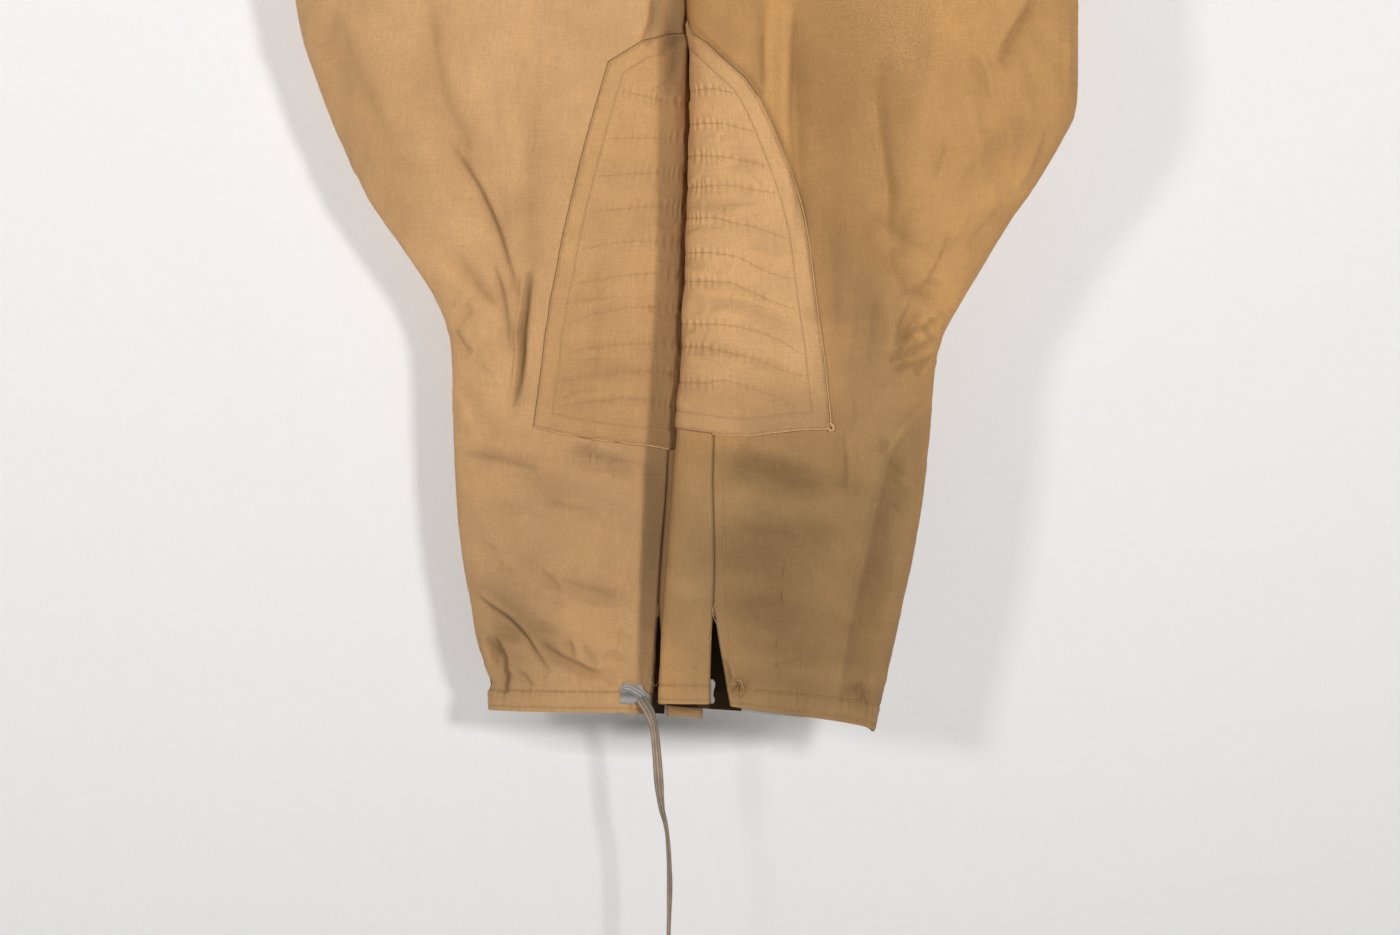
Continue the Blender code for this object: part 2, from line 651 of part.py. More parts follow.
def drawstring():
    """The tape's hanging end, as a plain tube along its route."""
    route = through([(x, -forward, height - WAIST_TOP) for x, forward, height in TAPE_ROUTE],
                    TAPE_POINT_SPACING)
    curve = bpy.data.curves.new("drawstring", "CURVE")
    curve.dimensions = "3D"
    curve.bevel_depth = TAPE_RADIUS * MM
    curve.bevel_resolution = 2
    curve.use_fill_caps = True
    spline = curve.splines.new("POLY")
    spline.points.add(len(route) - 1)
    for point, co in zip(spline.points, route * MM):
        point.co = (*co, 1.0)
    cord = bpy.data.objects.new("drawstring", curve)
    curve.materials.append(finish("tape"))
    collection("military_trousers").objects.link(cord)


def main():
    for old in list(bpy.data.objects):
        bpy.data.objects.remove(old, do_unlink=True)
    left = Leg("left", 1.0, LEFT_LEG, LEFT_HEM)
    right = Leg("right", -1.0, RIGHT_LEG, RIGHT_HEM)
    for leg in (left, right):
        panels(leg)
        knee_patch(leg)
        waistband(leg)
    fly(left)
    waist_button(left)
    for leg, name, span, start, end, low_show in FACINGS:
        hem_facing({"left": left, "right": right}[leg], name, span, start, end, low_show)
    tape_fold(right)
    drawstring()


main()
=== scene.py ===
"""The looks of the riding breeches: cloth shells with their creases, stitches, tape and room.

The cloth is formed by the same functions as the part's source, on a finer grid. Sizes are in
millimetres, with heights counted up from the hem, and places read from the photograph are in
its 1400 by 935 frame.
"""

import math

import bpy
import numpy as np
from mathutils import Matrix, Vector


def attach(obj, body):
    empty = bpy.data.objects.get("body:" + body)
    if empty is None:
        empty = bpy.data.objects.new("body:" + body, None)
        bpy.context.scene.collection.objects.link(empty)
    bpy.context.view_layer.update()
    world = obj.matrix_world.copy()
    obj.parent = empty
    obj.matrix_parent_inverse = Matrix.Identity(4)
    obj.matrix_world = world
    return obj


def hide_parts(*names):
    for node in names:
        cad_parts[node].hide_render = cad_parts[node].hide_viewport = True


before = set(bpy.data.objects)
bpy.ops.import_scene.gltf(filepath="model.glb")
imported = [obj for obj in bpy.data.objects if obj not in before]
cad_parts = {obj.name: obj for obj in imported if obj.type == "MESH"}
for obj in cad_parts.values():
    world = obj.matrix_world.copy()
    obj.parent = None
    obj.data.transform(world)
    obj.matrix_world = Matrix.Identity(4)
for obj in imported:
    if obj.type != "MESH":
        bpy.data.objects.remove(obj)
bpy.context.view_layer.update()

MM = 0.001
WAIST_TOP = 980.0
WAISTBAND_DEPTH = 38.0
CROTCH = 690.0
SEAM_GAP = 0.3
LAYER_GAP = 0.3
SLIT_HEIGHT = 92.0
SLITS = {"left": (14.5, 2.5), "right": (4.0, 10.0)}     # at the hem, on the front and the back
HEM_DEPTH = 17.5
HEM_EDGE_ROW = 4.0          # the stitch row nearest the hem's edge
STITCH = 2.55
BACK_STRETCHES = ("seat", "thigh", "knee", "upper_calf", "calf")
SHELL = 0.9                 # thickness of the cloth
INNER_EVERY = 3             # the panels' inner faces are this much coarser
GRID_LOW, GRID_STEP = -8.0, 4.0     # heights at which lengths round the leg are measured
JUST_BEHIND = -1e-7         # the inseam, counted to the back
WAVE = 6.283                # one turn of the cloth's waves
CROTCH_BULGE, CROTCH_REACH = 3.3, 26.0      # fullness beside the crotch, and how wide it is

# Camera and the photograph's frame: its width at the garment, and its middle
CAMERA_FAR = 2400.0
PHOTO_WIDE = 1190.0
PHOTO_MIDDLE = (13.6, 207.0)
PHOTO_PIXELS = (1400.0, 935.0)
PIXEL = PHOTO_WIDE / PHOTO_PIXELS[0]
FRONT_NEARER = 0.982        # the front cloth is nearer than the garment's middle

LEG_COLUMNS = ("height", "outer", "inner", "turn")
LEFT_LEG = (
    (-8, 158, -21.5, 61), (0, 160.5, -21, 60), (26, 168, -20.5, 58), (60, 177, -19.5, 56),
    (94, 185, -17, 54), (128, 193, -14.5, 52), (196, 204, -10, 47), (240, 208, -5, 44),
    (298, 213, -0.5, 39), (315, 218, 0.5, 38), (332, 226, 1, 36), (366, 246, 3, 33),
    (417, 278, 4.8, 29), (451, 301, 6, 26), (485, 321, 7, 23), (505, 330.5, 7.4, 21),
    (522, 333, 7.4, 19), (583, 334, 5.5, 12), (640, 334, 3.5, 5), (CROTCH, 320, 0, 0),
)
RIGHT_LEG = (
    (-8, 168, -15, 55.5), (0, 168, -15, 55), (14, 168, -15, 54), (23, 165.5, -14.5, 53.5),
    (33, 169.5, -14.5, 53), (43, 172.5, -14, 52), (60, 178, -13.5, 51), (94, 184, -13, 49),
    (128, 190, -12, 46), (196, 196, -9.5, 39.5), (240, 197.5, -8, 36.5), (298, 199, -5.5, 33),
    (315, 200.5, -4.5, 33), (332, 204.5, -4, 32), (349, 212, -3, 31), (366, 221.5, -3, 30),
    (400, 244.5, -2.5, 28), (434, 268, -2.5, 25), (485, 293.5, -3.3, 21), (536, 313.5, -3.3, 16),
    (587, 328.5, -2, 11), (640, 334, -0.5, 5), (CROTCH, 320, 0, 0),
)
DEPTH_COLUMNS = ("height", "front", "back", "apart", "skew")
DEPTHS = (
    (-8, 23, 23, 18, 1), (0, 24, 24, 18, 1), (60, 29, 29, 18.5, 1), (120, 32, 33, 19, 1),
    (200, 35, 37, 18, 1), (264, 36, 39, 16.5, 1), (320, 38, 40, 15, 0.97),
    (380, 42, 44, 13.5, 0.92), (440, 47, 50, 12, 0.87), (519, 55, 59, 11, 0.82),
    (583, 63, 68, 8.5, 0.8), (640, 71, 78, 4.5, 0.8), (CROTCH, 78, 88, 0, 0.82),
    (740, 83, 97, 0, 0.88), (800, 88, 102, 0, 0.94), (860, 88, 99, 0, 0.98), (920, 84, 89, 0, 1),
    (WAIST_TOP, 80, 80, 0, 1),
)
BODY_COLUMNS = ("height", "outer", "front_turn", "back_turn")
BODY = (
    (CROTCH, 320, 0, 0), (697, 318, 22, 20), (708, 313.5, 38, 33), (724, 304, 52, 46),
    (745, 287, 63, 57), (790, 254, 74, 69), (840, 226, 81, 78), (890, 205, 86, 84),
    (940, 190, 89, 88), (WAIST_TOP, 185, 90, 90),
)
# face, x0, height0, x1, height1, half width, depth
FOLDS = (
    ("front", -238, 640, -186, 500, 26, -6), ("front", -198, 480, -143, 352, 17, -6),
    ("front", -136, 372, -149, 258, 11, -6), ("front", -262, 600, -226, 420, 30, 4),
    ("front", -213, 388, -162, 347, 14, -4), ("front", -196, 276, -150, 226, 16, -3),
    ("front", -182, 102, -128, 46, 12, -4), ("front", -166, 62, -154, 20, 9, -4),
    ("front", -124, 54, -62, 28, 9, -2.5), ("front", 124, 640, 128, 470, 34, -7),
    ("front", 82, 640, 84, 500, 16, 5), ("front", 300, 604, 268, 552, 12, -3.5),
    ("front", 292, 520, 244, 436, 20, -4), ("front", 164, 556, 178, 430, 16, -3),
    ("front", 212, 352, 180, 300, 12, -5), ("front", 194, 255, 128, 20, 14, 4),
    ("front", 204, 230, 172, 130, 18, -4), ("front", 90, 206, 130, 186, 16, -3),
    ("back", -230, 640, -150, 470, 26, -6), ("back", -110, 520, -130, 330, 22, -5),
    ("back", -190, 345, -110, 318, 13, -5), ("back", -180, 310, -90, 290, 11, -4),
    ("back", -160, 150, -80, 60, 16, -4), ("back", 220, 640, 160, 450, 28, -6),
    ("back", 120, 540, 140, 340, 20, -5), ("back", 200, 340, 110, 312, 13, -5),
    ("back", 186, 306, 96, 296, 11, -4), ("back", 170, 160, 90, 70, 16, -4),
)
FOLD_FREE = 0.10            # the share of a panel beside each seam where folds fade out
HEM_FADE = 150.0            # the height at which the hem's slant is gone
HEM_COLUMNS = ("angle", "drop")
LEFT_HEM = ((-180, -16), (-90, -2), (0, 8), (62, 9), (76, 6), (180, -16))
RIGHT_HEM = ((-180, 0), (-60, -5), (0, -8), (50, -4), (75, -1), (180, 0))

# Creases seen in the photograph: half width, depth (below 0 goes in), which side is raised
# beside it (-1 left, 1 right, 0 neither), and the line it follows, in the photograph's frame.
CREASE_DEEPER = 1.55
CREASE_PAINTED_SHADE = 0.04        # painted shade in the creases, for each millimetre that the cloth goes in
RIGHT_FRONT_CREASES = (
    (3, -0.9, 1, ((462, 440), (478, 448), (498, 450))),
    (3, -1.1, 1, ((466, 462), (498, 470), (540, 478))),
    (3, -1.2, -1, ((575, 447), (595, 452), (622, 451))),
    (3, -1, 1, ((585, 470), (612, 468), (640, 472))),
    (3.2, -0.9, 1, ((480, 500), (520, 510), (556, 524))),
    (3, -1, -1, ((566, 594), (592, 604), (620, 606))),
    (3, -0.9, 1, ((520, 560), (548, 580), (560, 596))),
    (2.8, -0.8, 1, ((470, 360), (486, 372), (497, 392))),
    (2.8, -0.9, 1, ((640, 214), (662, 220), (680, 226))),
    (3, -0.9, 1, ((560, 300), (590, 296), (620, 292))),
    (3, -0.9, -1, ((566, 366), (592, 360), (630, 360))),
    (3, -0.8, 1, ((556, 396), (580, 388), (612, 386))),
    (2.8, -1, 1, ((605, 640), (618, 636), (634, 642))),
    (2.6, -1.2, -1, ((592, 676), (606, 682), (618, 690))),
    (3.4, -2.6, 1, ((671, -6), (673, 30), (672, 60), (668, 92))),
    (3.2, -2, -1, ((655, -10), (652, 20), (643, 44))),
    (4, -1.4, 1, ((686, 4), (678, 30), (660, 52))),
    (2.2, -3.3, -1, ((527, 268), (522, 300), (518, 329), (518, 351), (515, 378), (510, 405))),
    (3.6, -2.2, 1, ((451, 147), (472, 180), (487, 210), (499, 240), (515, 297))),
    (3, -1.6, 1, ((491, 265), (499, 291), (504, 322), (505, 352))),
    (5, -1.8, -1, ((436, 257), (472, 285), (491, 304))), (5, -1.2, 1, ((459, 301), (467, 316))),
    (4, -1.6, 1, ((448, 327), (457, 342), (468, 352))),
    (6, -1.2, -1, ((453, 380), (470, 410), (491, 440))),
    (8, -1.6, 1, ((421, 0), (442, 99), (466, 150))),
    (7, -1.2, -1, ((355, 45), (370, 99), (392, 150))),
    (9, -1.4, 1, ((330, 0), (346, 60), (378, 140))),
    (7, -1.4, -1, ((526, 180), (527, 225), (526, 268))),
    (5, -1.1, 1, ((540, 40), (534, 110), (529, 180))),
    (6, 1, 0, ((505, 60), (512, 130), (514, 220))),
    (4.5, -1.3, -1, ((461, 454), (500, 461), (534, 470))),
    (5, -1.6, 1, ((572, 454), (605, 460), (637, 464))),
    (6, -0.9, -1, ((520, 494), (566, 508), (606, 512))),
    (7, -1, 1, ((536, 574), (585, 590), (628, 598))), (5, -1, 1, ((549, 598), (562, 607))),
    (2.8, 1.5, 0, ((470, 592), (486, 604), (505, 616), (524, 632), (531, 645), (548, 668))),
    (2.4, -1.7, 0, ((470, 599), (486, 611), (505, 624), (524, 641), (531, 654), (547, 677))),
    (3.2, -1.8, -1, ((524, 625), (543, 631), (562, 639))),
    (3.2, -2, 1, ((539, 648), (559, 661), (582, 672), (598, 679))),
    (3, -1.4, 1, ((567, 642), (571, 661))), (3, -1.4, -1, ((582, 648), (593, 668))),
    (3, -1.4, 0, ((600, 662), (613, 656), (630, 665))),
    (3.4, -2, -1, ((484, 622), (498, 637), (515, 644))),
    (3.2, -2.6, 1, ((489, 639), (498, 662), (501, 685), (502, 698))),
    (3, -1.8, -1, ((480, 640), (487, 657), (489, 672))), (3, -1.5, 1, ((508, 675), (503, 688))),
    (3, -1.5, 1, ((516, 675), (529, 690))), (3.5, -1.2, 1, ((600, 250), (598, 330), (590, 400))),
    (5, -1.4, -1, ((560, 452), (590, 447), (612, 452))),
    (6, -1, 1, ((470, 520), (490, 560), (520, 590))),
    (10, 1.2, 0, ((600, 520), (590, 560), (575, 590))),
)
LEFT_FRONT_CREASES = (
    (2.6, -0.9, 1, ((905, 342), (916, 335), (926, 336))),
    (2.6, -1, -1, ((897, 372), (908, 362), (919, 360))),
    (2.8, -0.9, 1, ((880, 388), (900, 372), (912, 360))),
    (3, -0.8, -1, ((915, 300), (905, 318), (899, 338))),
    (3, -1, 1, ((868, 232), (884, 262), (900, 276))),
    (3, -1, -1, ((952, 232), (940, 262), (926, 288))),
    (3, -1.2, 1, ((930, 400), (905, 420), (880, 452))),
    (3, -1, 1, ((692, 201), (725, 204), (764, 202))),
    (3.4, -1.1, 1, ((692, 311), (711, 308), (732, 303), (746, 306), (773, 314), (787, 321))),
    (2.8, -0.8, -1, ((688, 341), (704, 339), (720, 341))),
    (3, -0.9, 1, ((730, 162), (750, 163), (764, 166))),
    (3, -1.1, 1, ((724, 470), (745, 478), (775, 484))),
    (3, -0.9, -1, ((726, 520), (756, 531), (800, 534))),
    (3, -0.9, 1, ((735, 610), (760, 604), (792, 600))),
    (3, -0.9, -1, ((760, 672), (800, 662), (842, 668))),
    (2.8, -1.2, 1, ((846, 690), (862, 684), (876, 690))),
    (5, -3, -1, ((798, 0), (795, 60), (793, 120), (797, 180), (800, 240))),
    (3.6, -1.4, 1, ((762, 0), (759, 50), (761, 98))),
    (3.2, -1.6, -1, ((877, 79), (881, 111), (888, 158), (893, 198), (890, 240))),
    (4, -1.3, 1, ((944, 142), (938, 160), (930, 182))),
    (4, -1.7, -1, ((1040, -6), (1018, 28), (997, 63))),
    (3.2, -1.4, 1, ((970, 57), (980, 73), (988, 99))),
    (9, -1.3, -1, ((1033, 111), (1008, 138), (978, 168), (955, 200))),
    (4, 1.8, 0, ((1049, 119), (1029, 168), (1017, 188))),
    (7, -1.6, -1, ((1010, 200), (990, 225), (965, 250))),
    (2.8, -1.4, 1, ((900, 350), (912, 334), (919, 325), (924, 314))),
    (2.8, -1.7, -1, ((890, 360), (905, 355), (921, 349), (932, 343))),
    (2.8, -1.4, 1, ((918, 374), (925, 364), (934, 354))), (2.6, -1, -1, ((926, 326), (936, 338))),
    (3, -1.4, 1, ((933, 319), (942, 322))), (5, -1, -1, ((912, 295), (935, 299))),
    (5, -1.4, 1, ((905, 268), (922, 282), (946, 296))),
    (4, -1.4, 1, ((880, 300), (886, 330), (884, 356))),
    (5, -1.6, -1, ((915, 413), (887, 463), (872, 524), (859, 580), (848, 628), (840, 671))),
    (3.2, -1.4, 1, ((885, 436), (885, 452))), (3.6, -1.6, 1, ((840, 432), (843, 456), (844, 487))),
    (8, -1.6, 1, ((906, 455), (898, 485))), (7, -1.4, 1, ((893, 508), (886, 535))),
    (7, -1.2, -1, ((880, 550), (872, 580))), (6, -1.2, 1, ((857, 688), (872, 688))),
    (4, -0.8, 1, ((824, 623), (860, 626), (890, 622))),
    (10, -2.4, 1, ((733, 452), (770, 466), (821, 493))),
    (6, -1.2, 0, ((736, 444), (750, 440), (764, 441))),
    (7, -1.2, 1, ((735, 560), (780, 585), (815, 580))),
    (6, -1, -1, ((740, 640), (775, 655), (820, 650))),
    (10, -1.6, -1, ((858, 250), (862, 320), (852, 400))),
    (6, -1, 1, ((830, 190), (842, 240), (846, 290))),
    (9, -1.6, 1, ((930, 0), (925, 60), (905, 130))),
    (4, 1.2, 0, ((1071, 0), (1071, 50), (1070, 92))),
    (8, -1.4, 1, ((726, 0), (724, 24), (740, 52))),
    (3.2, -2, -1, ((729, 706), (738, 694), (744, 682))),
    (3, -1.6, 1, ((722, 662), (730, 684), (740, 700))),
)

# Creases that the photograph doesn't show, with leg and face, and lines in millimetres
HIDDEN_CREASES = (
    ("right", "front", 8, -3.2, 1, ((-12, 716), (-70, 690), (-150, 650))),
    ("right", "front", 7, -2.4, -1, ((-14, 735), (-80, 726), (-170, 700))),
    ("right", "front", 7, -2, 1, ((-30, 668), (-62, 640), (-110, 612))),
    ("right", "front", 9, -2.2, -1, ((-220, 790), (-250, 720), (-262, 640))),
    ("right", "front", 6, -1.2, 1, ((-90, 930), (-100, 880), (-96, 820))),
    ("left", "front", 8, -3.2, -1, ((12, 718), (78, 694), (160, 660))),
    ("left", "front", 7, -2.2, 1, ((16, 738), (90, 732), (180, 708))),
    ("left", "front", 7, -2, -1, ((28, 672), (64, 646), (118, 616))),
    ("left", "front", 9, -2, 1, ((232, 800), (262, 735), (272, 660))),
    ("left", "front", 6, -1.2, -1, ((104, 934), (112, 870), (104, 810))),
    ("right", "back", 9, -2.6, 1, ((-10, 722), (-76, 690), (-160, 668))),
    ("right", "back", 7, -2.4, -1, ((-20, 750), (-100, 742), (-190, 760))),
    ("right", "back", 7, -1.7, 1, ((-30, 352), (-90, 340), (-170, 360))),
    ("right", "back", 7, -1.4, -1, ((-28, 330), (-100, 316), (-178, 322))),
    ("right", "back", 6, -1.2, 1, ((-36, 300), (-110, 292), (-160, 284))),
    ("right", "back", 7, -1.8, 1, ((-180, 250), (-120, 180), (-80, 90))),
    ("right", "back", 6, -1.6, -1, ((-150, 210), (-110, 130), (-96, 40))),
    ("right", "back", 9, -2, 1, ((-280, 600), (-230, 500), (-180, 420))),
    ("left", "back", 9, -2.6, -1, ((10, 724), (80, 694), (170, 676))),
    ("left", "back", 7, -2.2, 1, ((22, 756), (108, 748), (200, 770))),
    ("left", "back", 7, -1.7, -1, ((34, 346), (96, 336), (180, 352))),
    ("left", "back", 7, -1.3, 1, ((30, 326), (108, 310), (186, 318))),
    ("left", "back", 6, -1.3, -1, ((40, 296), (116, 288), (176, 292))),
    ("left", "back", 7, -1.8, -1, ((188, 246), (126, 176), (90, 80))),
    ("left", "back", 6, -1.6, 1, ((150, 190), (120, 120), (104, 36))),
    ("left", "back", 9, -2, -1, ((290, 590), (240, 500), (190, 420))),
)

# Knee patches in the photograph's frame: outer side from its bottom corner up, top edge on
# from there to the leg's inner edge, bottom edge from the same corner, and the quilted rows
PATCHES = {
    "right": {
        "side": ((531, 427), (539, 369), (548, 303), (562, 232), (584, 142), (608, 61)),
        "top": ((608, 61), (642, 39), (670, 30), (689, 26)),
        "bottom": ((531, 427), (565, 435), (602, 441), (652, 447), (676, 450)),
        "rows": (
            ((618, 90), (664, 98), (690, 98)),
            ((600, 138), (640, 136), (672, 134), (689, 132)),
            ((590, 176), (637, 171), (686, 169)),
            ((580, 212), (630, 206), (667, 202), (684, 205)),
            ((572, 250), (608, 242), (637, 239), (684, 240)),
            ((566, 286), (582, 281), (626, 273), (655, 271), (683, 274)),
            ((560, 326), (571, 321), (593, 312), (626, 306), (656, 305), (674, 306)),
            ((556, 354), (593, 346), (615, 343), (645, 342), (678, 344)),
            ((553, 382), (574, 378), (611, 373), (642, 370), (656, 371), (671, 374)),
            ((550, 409), (564, 405), (586, 401), (623, 397), (649, 399), (670, 405)),
        ),
    },
    "left": {
        "side": ((831, 430), (828, 399), (824, 362), (818, 318), (812, 271), (806, 228),
                 (796, 190), (784, 157), (773, 130), (758, 98)),
        "top": ((758, 98), (746, 80), (729, 64), (707, 42), (694, 28), (689, 16)),
        "bottom": ((831, 430), (802, 431), (773, 434), (743, 437), (711, 435), (677, 434)),
        "rows": (
            ((692, 88), (715, 89), (742, 97)),
            ((690, 122), (724, 124), (756, 134)),
            ((690, 154), (730, 158), (768, 168)),
            ((689, 186), (702, 186), (726, 185), (782, 196)),
            ((692, 217), (718, 218), (733, 223), (752, 227), (788, 240)),
            ((693, 252), (708, 252), (721, 254), (740, 258), (756, 267), (771, 274), (792, 280)),
            ((690, 281), (732, 283), (743, 289), (756, 294), (771, 302), (792, 309), (799, 312)),
            ((689, 324), (718, 324), (740, 327), (761, 333), (783, 343), (801, 354)),
            ((690, 347), (708, 349), (742, 356), (759, 360), (778, 369), (803, 377)),
            ((689, 383), (705, 381), (727, 381), (749, 387), (776, 397), (790, 405), (806, 414)),
        ),
    },
}
# Its far edge behind the inseam: how far back and how much higher than the front edge's end,
# at the bottom and at the top
PATCH_BACK = ((92.0, 12.0), (30.0, -30.0))
PATCH_THICK = 2.0
PATCH_PUFF = 0.9            # how far the padding rises between the rows
EDGE_STITCH = 2.2           # the stitch row at the patch's edge, and the one round the quilting
BORDER = 15.0

# The drawstring, which leaves the right front hem: x, how far in front of y = 0, height
TAPE_ROUTE = (
    (-36.5, 11.2, 11.5), (-33, 12.6, 6.5), (-29.2, 13.4, 0), (-26.6, 13.6, -8), (-24.6, 13.2, -18),
    (-23.2, 12.6, -32), (-22, 12.2, -48), (-20.6, 12, -66), (-18.6, 12, -82), (-15.6, 12.2, -94),
    (-13.8, 12.4, -106), (-12.6, 12.4, -124), (-12, 12.2, -144), (-12.4, 12, -166),
    (-13, 11.8, -190), (-13.2, 11.8, -216), (-13, 11.8, -240),
)
# How the tape twists along its length: millimetres from the hem, turn in degrees, width
TWIST_COLUMNS = ("run", "turn", "width")
TWIST = (
    (0, 0, 9), (12, 8, 9.6), (25, 20, 7.2), (45, 0, 7.4), (70, 0, 8), (88, 28, 7), (104, 52, 6.6),
    (120, 58, 6.2), (165, 42, 6.4), (207, 64, 6), (262, 55, 6),
)
TAPE_THICK = 2.4

# Tones, in the photograph's frame: middle, half sizes, turn, how much darker the cloth is there and
# how far its colour goes from tan towards olive. They are partly the cloth's own darker, olive
# places and partly painted shade beside folds, over the calves and between the quilted rows; where
# the darkness is below 0 they are painted highlights.
LEFT_TONES = (
    (698, 206, 16, 5, -4, 0.13, 0), (725, 210, 14, 5, 8, 0.07, 0), (698, 228, 15, 4, 0, 0.1, 0),
    (696, 263, 13, 6, 0, 0.1, 0), (714, 285, 24, 5, -10, 0.1, 0), (771, 250, 22, 6, -14, 0.08, 0),
    (726, 304, 30, 5, -8, 0.09, 0), (772, 321, 22, 7, -22, 0.1, 0), (810, 316, 10, 7, -20, 0.12, 0),
    (698, 331, 14, 6, 0, 0.1, 0), (710, 351, 22, 6, 4, 0.13, 0), (756, 362, 26, 6, -14, 0.09, 0),
    (697, 386, 12, 9, 0, 0.11, 0), (770, 408, 66, 24, -8, 0.1, 0), (694, 522, 12, 18, 0, 0.08, 0),
    (676, 616, 10, 24, 0, 0.08, 0), (700, 655, 12, 12, 0, 0.07, 0),
    (684, 588, 20, 8, -20, -0.08, 0), (790, 570, 92, 150, 0, 0.35, 0.66),
    (900, 500, 40, 130, 0, 0.1, 0.55), (850, 700, 130, 60, 0, 0.14, 0.5),
    (690, 580, 30, 150, 0, 0.03, 0.5), (780, 470, 75, 13, -12, 0.2, 0.05),
    (775, 540, 60, 22, 10, 0.16, 0.1), (760, 610, 50, 18, -8, 0.15, 0.05),
    (752, 562, 42, 13, -8, 0.1, 0), (856, 580, 12, 24, -20, 0.1, 0), (728, 472, 20, 16, 0, 0.12, 0),
    (800, 510, 42, 11, -6, -0.08, 0), (826, 560, 15, 30, -15, -0.07, 0),
    (800, 668, 60, 10, -6, -0.14, 0), (862, 690, 16, 12, 0, 0.2, 0.05),
    (850, 345, 30, 90, 0, 0.11, 0.35), (893, 330, 24, 70, 0, 0.07, 0.25),
    (865, 130, 55, 170, 0, 0.13, 0.1), (985, 110, 50, 100, 25, 0.05, 0),
    (1055, 60, 20, 90, 0, 0.05, 0),
)
RIGHT_TONES = (
    (684, 712, 26, 13, 0, 0.26, 0.45), (681, 70, 9, 100, 0, 0.2, 0), (677, 250, 8, 60, 0, 0.12, 0),
    (552, 484, 46, 9, -14, 0.1, 0), (520, 457, 40, 5, -8, 0.08, 0),
    (600, 588, 26, 10, -30, 0.07, 0), (606, 343, 30, 5, 4, 0.07, 0), (590, 374, 26, 6, 8, 0.08, 0),
    (632, 369, 22, 6, 0, 0.07, 0), (617, 401, 34, 5, 4, 0.07, 0), (563, 385, 14, 6, 10, 0.06, 0),
    (660, 520, 12, 90, 0, 0.08, 0), (560, 600, 130, 190, 0, 0.13, 0.25),
    (497, 650, 30, 60, 0, 0.1, 0.2), (500, 461, 45, 6, -12, 0.08, 0),
    (603, 460, 42, 9, -6, 0.05, 0.05), (566, 507, 30, 8, -10, 0.03, 0),
    (585, 592, 42, 11, -14, 0.05, 0.08), (536, 640, 40, 14, -35, 0.12, 0.1),
    (600, 330, 70, 130, 0, 0.05, 0), (520, 205, 14, 14, 0, 0.12, 0),
    (370, 120, 26, 110, 24, 0.07, 0),
)

# Painted shade and shadows with one sharp edge: the shadow that the forward leg casts on the other,
# shadows beside the patches' edges and in folds, and shade beside creases, with painted highlights
# where the darkness is below 0 and a few small dark nicks in the cloth. Columns: how far they fade
# out (above 0 to the right), how dark, the edge
LEFT_EDGES = (
    (12, 0.16, ((866, 218), (884, 230), (910, 246), (936, 262))),
    (9, 0.2, ((885, 252), (893, 272), (905, 298))),
    (9, 0.18, ((890, 297), (908, 288), (926, 284), (944, 288))),
    (5, 0.24, ((905, 339), (922, 327), (940, 315))),
    (4, 0.26, ((884, 354), (910, 346), (939, 336))),
    (4, 0.22, ((890, 369), (914, 362), (936, 354))),
    (10, 0.12, ((828, 228), (833, 280), (834, 340))),
    (8, 0.14, ((872, 292), (869, 330), (868, 366))),
    (7, 0.12, ((972, 206), (962, 226), (948, 250))),
    (9, 0.12, ((904, 206), (898, 236), (902, 262))),
    (6, 0.12, ((850, 382), (852, 410), (846, 440))),
    # Painted shadow beside the left patch's loose top edge
    (3, 0.46, ((690, 15), (707, 41), (729, 63), (747, 79), (759, 97), (774, 129),
     (785, 156), (797, 189), (807, 227))),
    (3, 0.3, ((888, 361), (905, 355), (921, 349), (934, 342))),
    (3, 0.26, ((899, 352), (912, 334), (919, 325), (925, 312))),
    (3, 0.26, ((917, 376), (925, 364), (935, 353))),
    (2.5, 0.22, ((925, 325), (931, 332), (937, 340))),
    (4, 0.2, ((1038, -4), (1018, 28), (996, 65))),
    (4, 0.18, ((877, 76), (881, 111), (888, 158), (893, 200), (890, 242))),
    (4, 0.2, ((969, 55), (980, 73), (989, 101))), (4, 0.16, ((945, 140), (938, 160), (929, 184))),
    (4, 0.2, ((842, 452), (844, 470), (844, 490))), (3, 0.18, ((885, 436), (885, 454))),
    (4, 0.26, ((758, -40), (757, 40), (761, 102))), (4, 0.16, ((912, 294), (925, 297), (938, 300))),
    # Painted shade in the broad fold down the thigh
    (62, 0.24, ((795, -90), (794, 60), (797, 160), (806, 250), (818, 330))),
    (34, 0.17, ((921, 400), (887, 463), (872, 524), (859, 580), (848, 628), (838, 690))),
    (-14, 0.16, ((758, -60), (757, 40), (761, 104))),
    (26, 0.12, ((877, 60), (882, 120), (890, 190), (892, 260))),
    (16, 0.16, ((1042, -10), (1020, 26), (992, 72))),
    (24, 0.06, ((1040, 100), (1008, 138), (972, 176))),
    (26, 0.1, ((905, 425), (887, 463), (872, 524), (859, 580), (848, 628), (834, 715))),
    (-4, -0.16, ((905, 425), (887, 463), (872, 524), (859, 580), (848, 628), (834, 715))),
    (3, 0.34, ((733, 684), (741, 691), (747, 700))), (3, 0.3, ((750, 684), (742, 694), (735, 705))),
    (3, 0.24, ((724, 676), (729, 690), (733, 702))),
)
